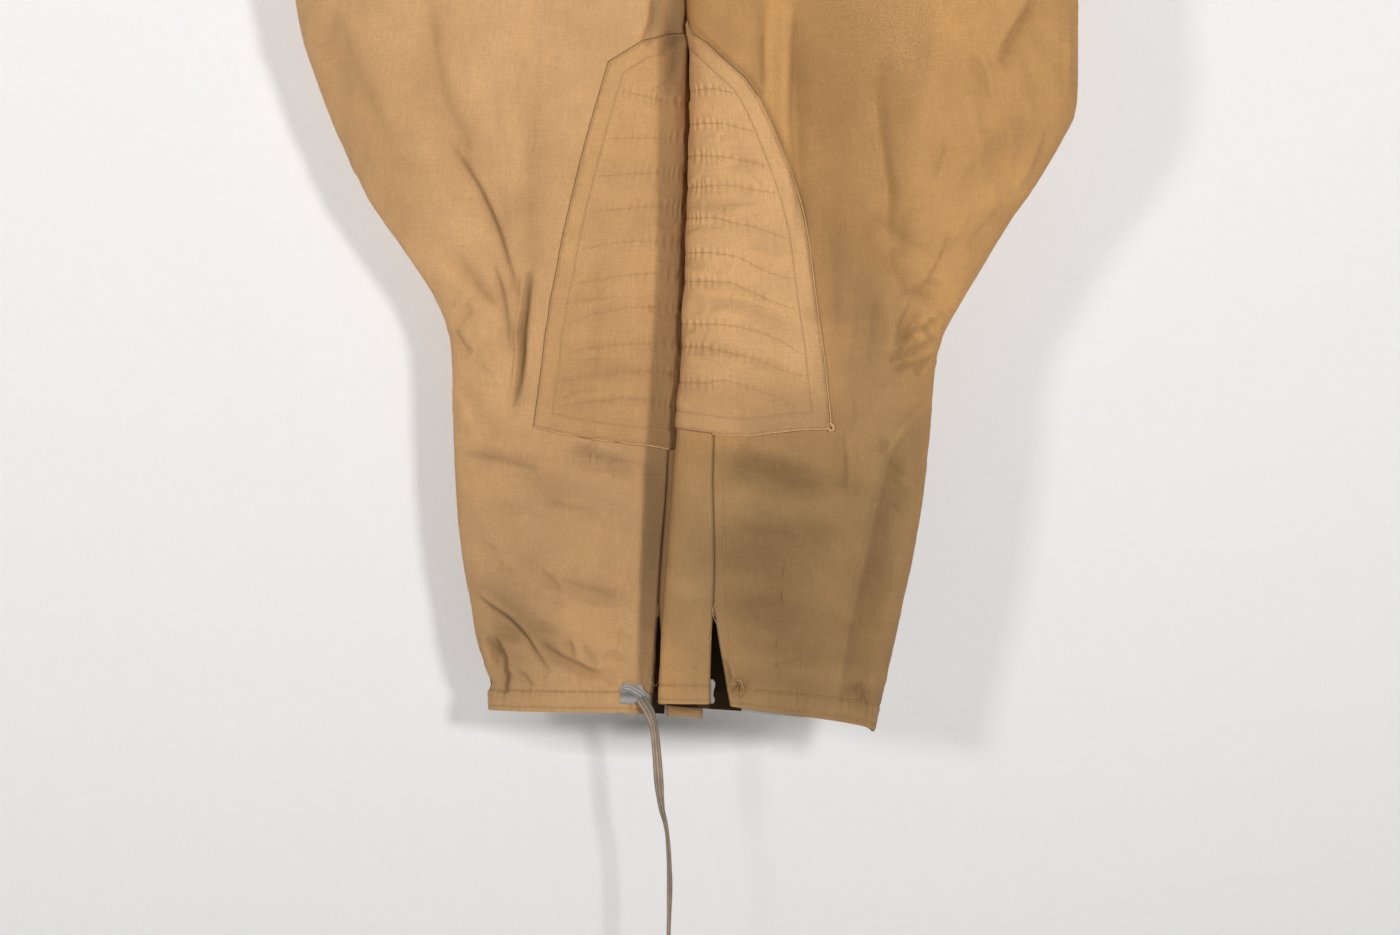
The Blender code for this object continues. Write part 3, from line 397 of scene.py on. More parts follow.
RIGHT_EDGES = (
    # Painted shadow in the deep slot of a fold
    (2.6, 0.9, ((526, 270), (522, 300), (518, 329), (517, 352), (514, 380), (509, 408))),
    (3.5, 0.36, ((449, 144), (472, 182), (486, 212), (498, 242), (514, 296))),
    (3, 0.34, ((490, 262), (499, 291), (504, 322), (505, 354))),
    (4, 0.26, ((468, 280), (480, 294), (494, 306))), (4, 0.2, ((448, 326), (457, 342), (466, 352))),
    (4, 0.24, ((458, 453), (500, 461), (538, 471))),
    (4, 0.26, ((570, 453), (605, 460), (640, 465))),
    (4, 0.18, ((574, 447), (595, 452), (624, 451))),
    (4, 0.4, ((472, 600), (486, 612), (505, 625), (524, 642), (532, 656), (549, 678))),
    (6, 0.45, ((670, -40), (673, 20), (672, 50), (669, 90))),
    (5, 0.35, ((656, -30), (652, 20), (645, 46))), (4, 0.3, ((688, -6), (681, 24), (668, 46))),
    (3, 0.5, ((656, 612), (660, 620), (657, 629))), (3, 0.45, ((655, 640), (659, 646), (656, 653))),
    (3, 0.45, ((652, 664), (656, 672), (654, 682))),
    (40, 0.24, ((642, 440), (641, 520), (638, 600), (636, 700))),
    (4, 0.3, ((488, 637), (498, 661), (501, 684), (502, 699))),
    (4, 0.24, ((537, 646), (559, 661), (582, 672), (600, 680))),
    (3, 0.24, ((481, 640), (487, 657), (490, 676))), (3, 0.2, ((565, 640), (571, 662))),
    (3, 0.2, ((581, 646), (594, 669))), (4, 0.16, ((540, 500), (566, 508), (594, 513))),
    (4, 0.18, ((560, 582), (586, 591), (616, 597))),
    # Painted shadow that the forward leg casts on the leg behind it
    (75, 0.44, ((657, -260), (656, 100), (655, 250), (651, 330), (647, 400), (644, 470),
     (640, 560), (637, 650), (637, 900))),
    (26, 0.14, ((445, 140), (472, 180), (487, 210), (499, 240), (517, 300))),
    (26, 0.1, ((526, 120), (527, 200), (527, 275))),
    (20, 0.1, ((452, 250), (472, 285), (494, 306))),
    (14, 0.12, ((486, 255), (499, 291), (505, 322), (506, 356))),
    (22, 0.1, ((420, -10), (442, 99), (468, 156))),
    (18, 0.12, ((470, 590), (506, 612), (534, 642), (552, 674))),
    (12, 0.14, ((486, 632), (498, 660), (502, 690))),
)
INSIDE_DARK = 0.88          # the unlit inner face of the legs
EDGE_PAINTED_SHADE = 0.6             # painted shade along a patch's turned edge


def table(rows, columns):
    """The columns of a table, by name."""
    return {name: np.array([row[k] for row in rows], float) for k, name in enumerate(columns)}


def smooth(heights, values, at):
    """A cubic curve through the values that never overshoots them."""
    step = np.diff(heights)
    slope = np.diff(values) / step
    product = slope[:-1] * slope[1:]
    total = np.where(product > 0, slope[:-1] + slope[1:], 1.0)
    inner = np.where(product > 0, 2 * product / total, 0.0)
    ends = np.concatenate([slope[:1], inner, slope[-1:]])
    at = np.clip(at, heights[0], heights[-1])
    k = np.clip(np.searchsorted(heights, at, side="right") - 1, 0, len(step) - 1)
    t = (at - heights[k]) / step[k]
    return (
        (1 + 2 * t) * (1 - t) ** 2 * values[k]
        + t * (1 - t) ** 2 * step[k] * ends[k]
        + t * t * (3 - 2 * t) * values[k + 1]
        + t * t * (t - 1) * step[k] * ends[k + 1]
    )


def distances(line):
    """How far along a line each of its points is."""
    return np.concatenate([[0.0], np.cumsum(np.linalg.norm(np.diff(line, axis=0), axis=1))])


def through(points, spacing):
    """Evenly spaced points of a smooth curve through the route's points."""
    route = np.array(points, float)
    run = distances(route)
    at = np.linspace(0.0, run[-1], int(run[-1] / spacing) + 1)
    return np.stack([smooth(run, route[:, k], at) for k in range(3)], -1)


def seen(places, nearer=FRONT_NEARER):
    """Places of the photograph's frame as x and height on the garment's front."""
    places = np.asarray(places, float)
    x = PHOTO_MIDDLE[0] + (places[..., 0] - PHOTO_PIXELS[0] / 2) * PIXEL * nearer
    height = PHOTO_MIDDLE[1] + (PHOTO_PIXELS[1] / 2 - places[..., 1]) * PIXEL * nearer
    return np.stack([x, height], -1)


def to_line(x, height, line):
    """Distance to a line of points, the side it is on (left -1, right 1) and how far along."""
    best = np.full(np.shape(x), 1e9)
    side = np.zeros(np.shape(x))
    along = np.zeros(np.shape(x))
    line = np.asarray(line, float)
    count = len(line) - 1
    for k in range(count):
        run = line[k + 1] - line[k]
        if not run.any():
            continue
        dx, dh = x - line[k, 0], height - line[k, 1]
        t = np.clip((dx * run[0] + dh * run[1]) / (run @ run), 0, 1)
        away = np.hypot(dx - t * run[0], dh - t * run[1])
        cross = run[0] * dh - run[1] * dx
        upward = 1.0 if run[1] >= 0 else -1.0
        near = away < best
        best = np.where(near, away, best)
        side = np.where(near, -np.sign(cross) * upward, side)
        along = np.where(near, (k + t) / count, along)
    return best, side, along


def bell(distance, height, width):
    """A rounded bump over the places near a line."""
    return height * np.exp(-((distance / width) ** 2))


def crease(x, height, width, depth, ridge, line):
    """How far one crease moves the cloth."""
    low = np.min(line, axis=0) - 4 * width
    high = np.max(line, axis=0) + 4 * width
    there = (x > low[0]) & (x < high[0]) & (height > low[1]) & (height < high[1])
    moved = np.zeros(np.shape(x))
    if not there.any():
        return moved
    away, side, along = to_line(x[there], height[there], line)
    taper = np.clip(4 * along * (1 - along), 0, 1) ** 0.6
    across = away * side * ridge if ridge else away
    # Steep towards the raised side, with a low ridge there, and gentle on the other
    slope = np.where(across > 0, 0.8, 1.9) * width if ridge else width
    beside = bell(across - 1.8 * width, 0.55, 1.1 * width) if ridge else 0.0
    moved[there] = CREASE_DEEPER * depth * taper * (bell(across, 1.0, slope) - beside)
    return moved


def scattered(seed, count, x_range, up_range, lean, lengths, widths, depths):
    """Small creases of uneven sizes, with their lines in millimetres. LEAN is in degrees."""
    source = np.random.RandomState(seed)
    rows = []
    for _ in range(count):
        middle = np.array([source.uniform(*x_range), source.uniform(*up_range)])
        angle = math.radians(source.normal(lean, 16.0))
        half = source.uniform(*lengths) / 2
        run = half * np.array([math.cos(angle), math.sin(angle)])
        bend = source.uniform(-0.18, 0.18) * np.array([-run[1], run[0]])
        ridge = source.choice([-1, 1])
        rows.append((source.uniform(*widths), -source.uniform(*depths), ridge,
                     (middle - run, middle + bend, middle + run)))
    return rows


def small_creases(across, up, rows, share):
    """How far a list of creases moves the cloth."""
    return share * sum(crease(across, up, *row) for row in rows)


# Seed, count, ranges of x and height, lean, and ranges of length, half width and depth
PATCH_CREASES = {
    "left": scattered(3, 60, (-20, 70), (250, 560), 176, (9, 34), (1.6, 3.2), (0.25, 0.7)),
    "right": scattered(5, 60, (-10, 100), (250, 560), 6, (9, 34), (1.6, 3.2), (0.15, 0.5)),
}
PANEL_CREASES = [(leg, face, scattered(*row)) for leg, face, *row in (
    ("left", "front", 21, 26, (60, 190), (30, 240), 160, (16, 60), (2.4, 5), (0.2, 0.6)),
    ("left", "front", 22, 26, (80, 310), (330, 700), 96, (20, 90), (2.6, 6), (0.2, 0.6)),
    ("right", "front", 23, 30, (-180, -20), (20, 240), 166, (14, 50), (2.2, 4.6), (0.2, 0.6)),
    ("right", "front", 24, 26, (-300, -90), (330, 700), 84, (20, 90), (2.6, 6), (0.2, 0.6)),
    ("left", "back", 25, 44, (30, 300), (40, 900), 100, (30, 110), (4, 8), (0.3, 0.9)),
    ("right", "back", 26, 44, (-300, -30), (40, 900), 80, (30, 110), (4, 8), (0.3, 0.9)),
)]


class Leg:
    """One half of the garment, as in the part's source, with its creases.

    AROUND is the place round a section: 0 the inseam, 1 the outseam, below 0 the back.
    """

    def __init__(self, name, side, sections, hem):
        self.name = name
        self.side = side
        self.sections = table(sections, LEG_COLUMNS)
        self.depths = table(DEPTHS, DEPTH_COLUMNS)
        self.body = table(BODY, BODY_COLUMNS)
        self.hem = table(hem, HEM_COLUMNS)
        self.heights = np.arange(GRID_LOW, WAIST_TOP + 1, GRID_STEP)
        self.fine = np.linspace(0.0, 1.0, 160)
        self.length_front = np.array([self.lengths(h)[1] for h in self.heights])
        self.length_back = np.array([self.lengths(h, back=True)[1] for h in self.heights])

    def level(self, rows, column, up):
        return smooth(rows["height"], rows[column], up)

    def plain(self, around, up):
        """The unfolded cloth: points, and the angle round the section."""
        around, up = np.broadcast_arrays(np.asarray(around, float), np.asarray(up, float))
        back = (around < 0) | (around > 1)
        share = np.where(around > 1, 2 - around, np.abs(around))
        above = up > CROTCH
        turn = np.radians(self.level(self.sections, "turn", up))
        start_front = np.where(above, np.radians(self.level(self.body, "front_turn", up)), turn)
        start_back = np.where(above, -np.radians(self.level(self.body, "back_turn", up)), turn)
        angle = np.where(
            back,
            start_back - (math.pi + start_back) * share,
            start_front + (math.pi - start_front) * share,
        )
        skew = self.level(self.depths, "skew", up)
        outer = np.where(
            above, self.level(self.body, "outer", up), self.level(self.sections, "outer", up)
        )
        inner = self.level(self.sections, "inner", up)
        start = np.where(back, start_back, start_front)
        near = ((1 - np.cos(start)) / 2) ** (1 / skew)
        inner = np.where(above, -outer * near / (1 - near), inner)
        inner = inner + SEAM_GAP / 2
        reach = ((1 - np.cos(angle)) / 2) ** (1 / skew)
        depth = np.where(
            angle >= 0,
            self.level(self.depths, "front", up),
            self.level(self.depths, "back", up),
        )
        x = self.side * (inner + (outer - inner) * reach)
        y = -depth * np.sin(angle) - self.side * self.level(self.depths, "apart", up)
        fade = np.clip(1 - up / HEM_FADE, 0, 1) ** 2
        drop = np.interp(np.degrees(angle), self.hem["angle"], self.hem["drop"]) * fade
        return np.stack([x, y, up + drop - WAIST_TOP], -1), angle

    def facing(self, shape, around, up):
        """Unit normals of a surface function, pointing out of the leg."""
        d_around = 0.004
        d_up = 1.0
        lean = np.where(around < -0.5, around + 2, around)
        beside = np.where(
            lean < 0, np.minimum(lean, -2 * d_around), np.maximum(lean, 2 * d_around)
        )
        lean = np.where((up + d_up > CROTCH) & (lean < 0.5), beside, lean)
        lean = np.minimum(lean, 2 - 2 * d_around)
        across = shape(lean + d_around, up) - shape(lean - d_around, up)
        along = shape(lean, up + d_up) - shape(lean, up - d_up)
        normal = np.cross(across, along) * self.side
        return normal / np.linalg.norm(normal, axis=-1, keepdims=True)

    def fold_depth(self, points, around, up, angle):
        """How far the folds move the cloth along its normal."""
        total = np.zeros(points.shape[:-1])
        share = np.where(around > 1, 2 - around, np.abs(around))
        free = np.clip(share / FOLD_FREE, 0, 1) * np.clip((1 - share) / FOLD_FREE, 0, 1)
        below_crotch = np.clip((CROTCH - 30.0 - up) / 60.0, 0, 1)
        for face, x0, height0, x1, height1, width, depth in FOLDS:
            on_face = np.where((angle >= 0) == (face == "front"), 1.0, 0.0)
            here = np.stack([points[..., 0], up], -1)
            start = np.array([x0, height0])
            run = np.array([x1, height1]) - start
            t = np.clip(((here - start) @ run) / (run @ run), 0, 1)
            away = np.linalg.norm(here - (start + t[..., None] * run), axis=-1)
            taper = np.sin(math.pi * (0.12 + 0.76 * t))
            total += on_face * taper * bell(away, depth, width)
        return total * free * below_crotch

    def folded(self, around, up):
        around, up = np.broadcast_arrays(np.asarray(around, float), np.asarray(up, float))
        points, angle = self.plain(around, up)
        normal = self.facing(lambda a, u: self.plain(a, u)[0], around, up)
        return points + normal * self.fold_depth(points, around, up, angle)[..., None]

    def lengths(self, height, back=False):
        """Points round half a leg, and the length of cloth from the inseam to each."""
        place = np.where(self.fine > 0, -self.fine, JUST_BEHIND) if back else self.fine
        points = self.plain(place, np.full(len(self.fine), height))[0]
        return points, distances(points)

    def girth(self, up, back=False):
        grid = self.length_back if back else self.length_front
        return np.interp(up, self.heights, grid[:, -1])

    def around_of(self, length, up):
        """AROUND for lengths of cloth from the inseam, above 0 to the front."""
        length, up = np.broadcast_arrays(np.asarray(length, float), np.asarray(up, float))
        flat_length, flat_up = np.abs(length).ravel(), up.ravel()
        place = np.clip((flat_up - GRID_LOW) / GRID_STEP, 0, len(self.heights) - 1.001)
        k = place.astype(int)
        t = (place - k)[:, None]
        result = np.zeros(len(flat_up))
        for grid, sign in ((self.length_front, 1.0), (self.length_back, -1.0)):
            mine = (length.ravel() >= 0) == (sign > 0)
            if not mine.any():
                continue
            rows = (1 - t[mine]) * grid[k[mine]] + t[mine] * grid[k[mine] + 1]
            want = flat_length[mine]
            j = np.clip((rows < want[:, None]).sum(1) - 1, 0, rows.shape[1] - 2)
            pick = np.arange(len(j))
            low, high = rows[pick, j], rows[pick, j + 1]
            part = np.clip((want - low) / (high - low), 0, 1)
            result[mine] = sign * (self.fine[j] + part * (self.fine[j + 1] - self.fine[j]))
        result = np.where((result == 0) & (length.ravel() < 0), JUST_BEHIND, result)
        return result.reshape(length.shape)

    def length_at(self, x, height):
        """Length of cloth from the inseam to a place seen from the front."""
        points, length = self.lengths(height)
        across = self.side * points[:, 0]
        first = across.argmin()
        return float(np.interp(self.side * x, across[first:], length[first:]))

    def flat_line(self, line):
        """A line of x and height as lengths from the inseam and heights."""
        return np.array([(self.length_at(x, h), h) for x, h in line])

    def crease_depth(self, points, up, angle, around):
        """How far all the creases move the cloth."""
        x = points[..., 0]
        front = angle >= 0
        total = np.zeros(np.shape(x))
        photo = LEFT_FRONT_CREASES if self.name == "left" else RIGHT_FRONT_CREASES
        for width, depth, ridge, line in photo:
            total += np.where(front, crease(x, up, width, depth, ridge, seen(line)), 0.0)
        for leg, face, width, depth, ridge, line in HIDDEN_CREASES:
            if leg == self.name:
                here = front == (face == "front")
                total += np.where(here, crease(x, up, width, depth, ridge, line), 0.0)
        for leg, face, rows in PANEL_CREASES:
            if leg == self.name:
                total += small_creases(x, up, rows, front == (face == "front"))
        share = np.where(around > 1, 2 - around, np.abs(around))
        edge = np.clip((1 - share) / 0.03, 0, 1) * np.clip(share / 0.02, 0, 1)
        return total * edge

    def waver(self, length, up):
        """Slight unevenness of hanging cloth."""
        wave = np.zeros(np.shape(length))
        source = np.random.RandomState(7 if self.name == "left" else 11)
        for _ in range(14):
            across, along = source.uniform(28, 90), source.uniform(70, 260)
            lean, phase = source.uniform(-0.5, 0.5), source.uniform(0, 6.28, 2)
            wave += np.sin(WAVE * (length + lean * up) / across + phase[0]) * np.sin(
                WAVE * up / along + phase[1]
            )
        fade = np.clip(np.minimum(np.abs(length), 25.0) / 25.0, 0, 1)
        return 0.22 * wave * fade

    def cloth(self, length, up):
        """The visible cloth: points, normals, and x seen from the front."""
        around = self.around_of(length, up)
        points, angle = self.plain(around, up)
        base = self.folded(around, up)
        normal = self.facing(self.folded, around, up)
        creased = self.crease_depth(points, up, angle, around)
        moved = creased + self.waver(length, up) * np.clip((1 - np.abs(around)) / 0.05, 0, 1)
        near_crotch = np.clip((up - 560) / 20, 0, 1) * np.clip((CROTCH - 2 - up) / 40, 0, 1)
        moved = moved + near_crotch * bell(length, CROTCH_BULGE, CROTCH_REACH)
        return base + normal * moved[..., None], normal, points[..., 0], creased


    def raised(self, flat, lift):
        """Flat places as points on the cloth, raised by LIFT."""
        points, normal = self.cloth(flat[..., 0], flat[..., 1])[:2]
        return points + normal * np.asarray(lift, float)[..., None]


def place_row(height_zones):
    """Heights of a grid's rows, from zones of first, last and step."""
    return np.unique(np.concatenate([np.arange(a, b, step) for a, b, step in height_zones]))


def link(piece):
    bpy.context.scene.collection.objects.link(piece)


def new_mesh(name, points, faces, material, uv=None, tone=None):
    """A mesh object from arrays of points in millimetres and triangles."""
    mesh = bpy.data.meshes.new(name)
    mesh.vertices.add(len(points))
    mesh.vertices.foreach_set("co", (np.asarray(points) * MM).ravel())
    mesh.loops.add(faces.size)
    mesh.loops.foreach_set("vertex_index", faces.ravel().astype(np.int32))
    mesh.polygons.add(len(faces))
    mesh.polygons.foreach_set("loop_start", np.arange(len(faces), dtype=np.int32) * 3)
    mesh.update(calc_edges=True)
    if uv is not None:
        layer = mesh.uv_layers.new(name="flat")
        layer.data.foreach_set("uv", (uv[faces.ravel()] * MM).ravel())
    if tone is not None:
        layer = mesh.attributes.new("tone", "FLOAT_COLOR", "POINT")
        layer.data.foreach_set("color", tone.ravel())
    mesh.validate()
    mesh.materials.append(material)
    mesh.shade_smooth()
    mesh.set_sharp_from_angle(angle=math.radians(62))
    piece = bpy.data.objects.new(name, mesh)
    link(piece)
    return piece


def quads(rows, columns, start=0, flip=False):
    """Faces of a grid of points."""
    index = start + np.arange(rows * columns).reshape(rows, columns)
    faces = np.stack([index[:-1, :-1], index[:-1, 1:], index[1:, 1:], index[1:, :-1]], -1)
    faces = faces.reshape(-1, 4)
    return faces[:, ::-1] if flip else faces


def lowest(moved, reach):
    """The lowest of each value's neighbours, so that a coarser face stays under a finer one."""
    for axis in (0, 1):
        wide = np.pad(moved, [(reach, reach) if k == axis else (0, 0) for k in (0, 1)], "edge")
        count = moved.shape[axis]
        moved = np.min([np.take(wide, np.arange(k, k + count), axis) for k in range(2 * reach + 1)],
                       axis=0)
    return moved


def border(index):
    """The outer entries of a grid, in order round it."""
    return np.concatenate([index[0], index[1:, -1], index[-1, -2::-1], index[-2:0:-1, 0]])


def shell(name, outer, inner, uv, tone, inside, material, side, every=1):
    """A thin closed sheet. Its inner face has each of EVERY rows and columns of the outer one."""
    rows, columns = outer.shape[:2]
    keep = [np.unique(np.append(np.arange(0, n, every), n - 1)) for n in (rows, columns)]
    low = np.ix_(*keep)
    count = rows * columns
    flip = side < 0
    squares = np.concatenate([quads(rows, columns, 0, flip),
                              quads(len(keep[0]), len(keep[1]), count, not flip)])
    places = [np.searchsorted(keep[k], np.arange(n), side="right") - 1
              for k, n in enumerate((rows, columns))]
    fine = border(np.arange(count).reshape(rows, columns))
    coarse = border(count + places[0][:, None] * len(keep[1]) + places[1][None, :])
    following, coarse_following = np.roll(fine, -1), np.roll(coarse, -1)
    rim = np.stack([following, fine, coarse], -1)
    more = np.stack([following, coarse, coarse_following], -1)[coarse != coarse_following]
    rim = np.concatenate([rim, more])
    faces = np.concatenate([squares[:, [0, 1, 2]], squares[:, [0, 2, 3]],
                            rim[:, ::-1] if flip else rim])
    points = np.concatenate([outer.reshape(-1, 3), inner[low].reshape(-1, 3)])
    return new_mesh(name, points, faces, material,
                    np.concatenate([uv.reshape(-1, 2), uv[low].reshape(-1, 2)]),
                    np.concatenate([tone.reshape(-1, 4), inside[low].reshape(-1, 4)]))


def tones(leg, x, up, front, creased):
    """Painted shade and shadows, darker places and olive of the cloth at each point, as a colour.
    """
    # Painted shade in the creases, darker where they go in deeper
    dark = np.clip(-creased * CREASE_PAINTED_SHADE, 0, 0.35)
    olive = np.zeros(np.shape(x))
    # Darker and olive places, partly the cloth's own and partly painted shade, with painted
    # highlights where the darkness is below 0
    blobs = LEFT_TONES if leg.name == "left" else RIGHT_TONES
    for px, py, half_x, half_y, turn, darker, greener in blobs:
        cx, ch = seen((px, py))
        c, s = math.cos(math.radians(turn)), math.sin(math.radians(turn))
        dx, dh = (x - cx) / PIXEL, (up - ch) / PIXEL
        away = ((c * dx + s * dh) / half_x) ** 2 + ((c * dh - s * dx) / half_y) ** 2
        soft = np.exp(-0.7 * away ** 1.5)       # flat in the middle, soft at the rim
        dark = 1 - (1 - dark) * (1 - darker * soft)
        olive = 1 - (1 - olive) * (1 - greener * soft)
    # Painted shade and shadows with one sharp edge, and a few dark nicks
    for reach, darker, line in LEFT_EDGES if leg.name == "left" else RIGHT_EDGES:
        away, side, along = to_line(x, up, seen(line))
        taper = np.clip(5 * along * (1 - along), 0, 1) ** 0.5
        beside = away * side * np.sign(reach) / PIXEL
        fall = np.exp(-((np.maximum(beside, 0) / abs(reach)) ** 2)) / (
            1 + np.exp(np.minimum(-beside / 1.1, 50.0)))
        dark = 1 - (1 - dark) * (1 - darker * fall * taper * front)
    return np.stack([dark, olive, np.zeros(np.shape(x)), np.ones(np.shape(x))], -1)


def plain_tone(shape):
    """The colour of cloth with no dark or olive places."""
    return np.concatenate([np.zeros((*shape, 3)), np.ones((*shape, 1))], -1)


def roll(distance, depth=0.7, width=1.3):
    """How an edge or seam turns in."""
    return bell(np.maximum(distance, 0), -depth, width)


def row_mark(distance, depth, width):
    """How a row of stitches draws the cloth in."""
    return bell(distance, -depth, width)


def pucker(length, distance, size, pitch, reach, seed):
    """Small gathers beside a row of stitches."""
    phase = 1.7 * np.sin(length / 11.0 + seed) + 1.1 * np.sin(length / 4.7 + 2 * seed)
    return np.sin(WAVE * length / pitch + phase) * bell(distance, size, reach)


def panel(leg, face, rows, columns, material):
    """A front or back panel as a thin shell."""
    back = face == "back"
    sign = -1.0 if back else 1.0
    up = rows[:, None] * np.ones((1, columns))
    slit = SLITS[leg.name][1 if back else 0] * np.clip(1 - rows / SLIT_HEIGHT, 0, 1)
    start = SEAM_GAP / 2 + slit
    end = leg.girth(rows, back) - SEAM_GAP / 2
    t = np.linspace(0, 1, columns)
    reach = start[:, None] + t[None, :] * (end - start)[:, None]
    length = sign * reach
    points, normal, x, creased = leg.cloth(length, up)
    inseam, outseam = reach - start[:, None], end[:, None] - reach
    top = WAIST_TOP - WAISTBAND_DEPTH - SEAM_GAP / 2 - up
    moved = roll(inseam) + roll(outseam) + roll(top) + roll(up, 0.5, 1.0)
    moved += row_mark(up - HEM_DEPTH, 0.7, 1.5) + row_mark(up - HEM_EDGE_ROW, 0.35, 1.2)
    moved += 0.5 / (1 + np.exp(np.minimum((up - HEM_DEPTH) / 0.9, 50.0)))
    moved += pucker(length, up - HEM_DEPTH + 3, 0.42, 8.5, 8.0, 1.0)
    moved += pucker(length, up - HEM_DEPTH - 6, 0.55, 15.0, 13.0, 5.0)
    moved += pucker(length, up - 3.0, 0.25, 6.0, 3.0, 2.0)
    moved += pucker(up, outseam - 5.0, 0.12, 17.0, 5.0, 3.0)
    if leg.name == "left" and not back:
        moved += row_mark(inseam - 8.5, 0.3, 1.2) * (up < 240)
        moved += pucker(up, inseam - 6.0, 0.22, 11.0, 5.0, 4.0) * (up < 240)
    tone = tones(leg, x, up, 0.0 if back else 1.0, creased)
    sewn = bell(up - HEM_DEPTH, 0.24, 0.8) + bell(up - HEM_EDGE_ROW, 0.20, 0.9)
    sewn += bell(outseam, 0.30, 1.0) + bell(inseam, 0.45, 0.9)
    tone[..., 0] = 1 - (1 - tone[..., 0]) * (1 - sewn)
    hem = 1 / (1 + np.exp(np.minimum((up - HEM_DEPTH) / 0.8, 50.0)))    # 1 where it is doubled
    thick = SHELL + 1.1 * hem
    outer = points + normal * moved[..., None]
    shape = creased + moved
    inner = outer + normal * (lowest(shape, INNER_EVERY) - shape - thick)[..., None]
    uv = np.stack([length, up], -1)
    inside = tone.copy()
    inside[..., 0] = INSIDE_DARK
    piece = shell(f"{leg.name}_{face}_cloth", outer, inner, uv, tone, inside, material,
                  leg.side * sign, INNER_EVERY)
    parts = [f"_{part}" for part in BACK_STRETCHES] if back else [""]
    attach(piece, "root")
    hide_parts(*[f"{leg.name}_{face}{part}" for part in parts])


def fill(line, count):
    """Points along a line of points, evenly spaced."""
    line = np.asarray(line, float)
    run = distances(line)
    at = np.linspace(0.0, run[-1], count)
    return np.stack([np.interp(at, run, line[:, k]) for k in range(2)], -1)


def between(bottom, top, near, far, columns, rows):
    """A grid that fills four lines: bottom and top run from near to far."""
    b, t = fill(bottom, columns), fill(top, columns)
    n, f = fill(near, rows), fill(far, rows)
    u = np.linspace(0, 1, columns)[None, :, None]
    v = np.linspace(0, 1, rows)[:, None, None]
    ruled = (1 - v) * b[None] + v * t[None] + (1 - u) * n[:, None] + u * f[:, None]
    corners = (1 - u) * (1 - v) * b[0] + u * (1 - v) * b[-1] + (1 - u) * v * t[0] + u * v * t[-1]
    return ruled - corners


def ring_of(outline):
    """An outline with its first point again at its end."""
    return np.vstack([outline, outline[:1]])


def inset(outline, distance):
    """A closed outline moved inwards."""
    line = np.asarray(outline, float)
    middle = line.mean(axis=0)
    following = np.roll(line, -1, axis=0)
    run = following - line
    run /= np.linalg.norm(run, axis=1)[:, None]
    normal = np.stack([-run[:, 1], run[:, 0]], -1)
    if np.mean(np.sum(normal * (middle - line), axis=1)) < 0:
        normal = -normal
    before = np.roll(normal, 1, axis=0)
    both = normal + before
    both /= np.maximum(np.sum(both * normal, axis=1), 0.3)[:, None]
    return line + both * distance


def patch_lines(leg):
    """The patch's four edges and rows, flat: lengths from the inseam, and heights."""
    data = PATCHES[leg.name]
    side, top, bottom = (leg.flat_line(seen(data[k])) for k in ("side", "top", "bottom"))
    low, high = PATCH_BACK
    back_low = np.array([-low[0], bottom[-1][1] + low[1]])
    back_high = np.array([-high[0], top[-1][1] + high[1]])
    bottom = np.vstack([back_low, bottom[::-1]])
    top = np.vstack([back_high, top[::-1]])
    rows = [np.vstack([leg.flat_line(seen(line)), (-200.0, seen(line[-1])[1] + 6.0)])
            if leg.name == "right"
            else np.vstack([(-200.0, seen(line[0])[1] + 6.0), leg.flat_line(seen(line))])
            for line in data["rows"]]
    return bottom, top, np.array([back_low, back_high]), side, rows


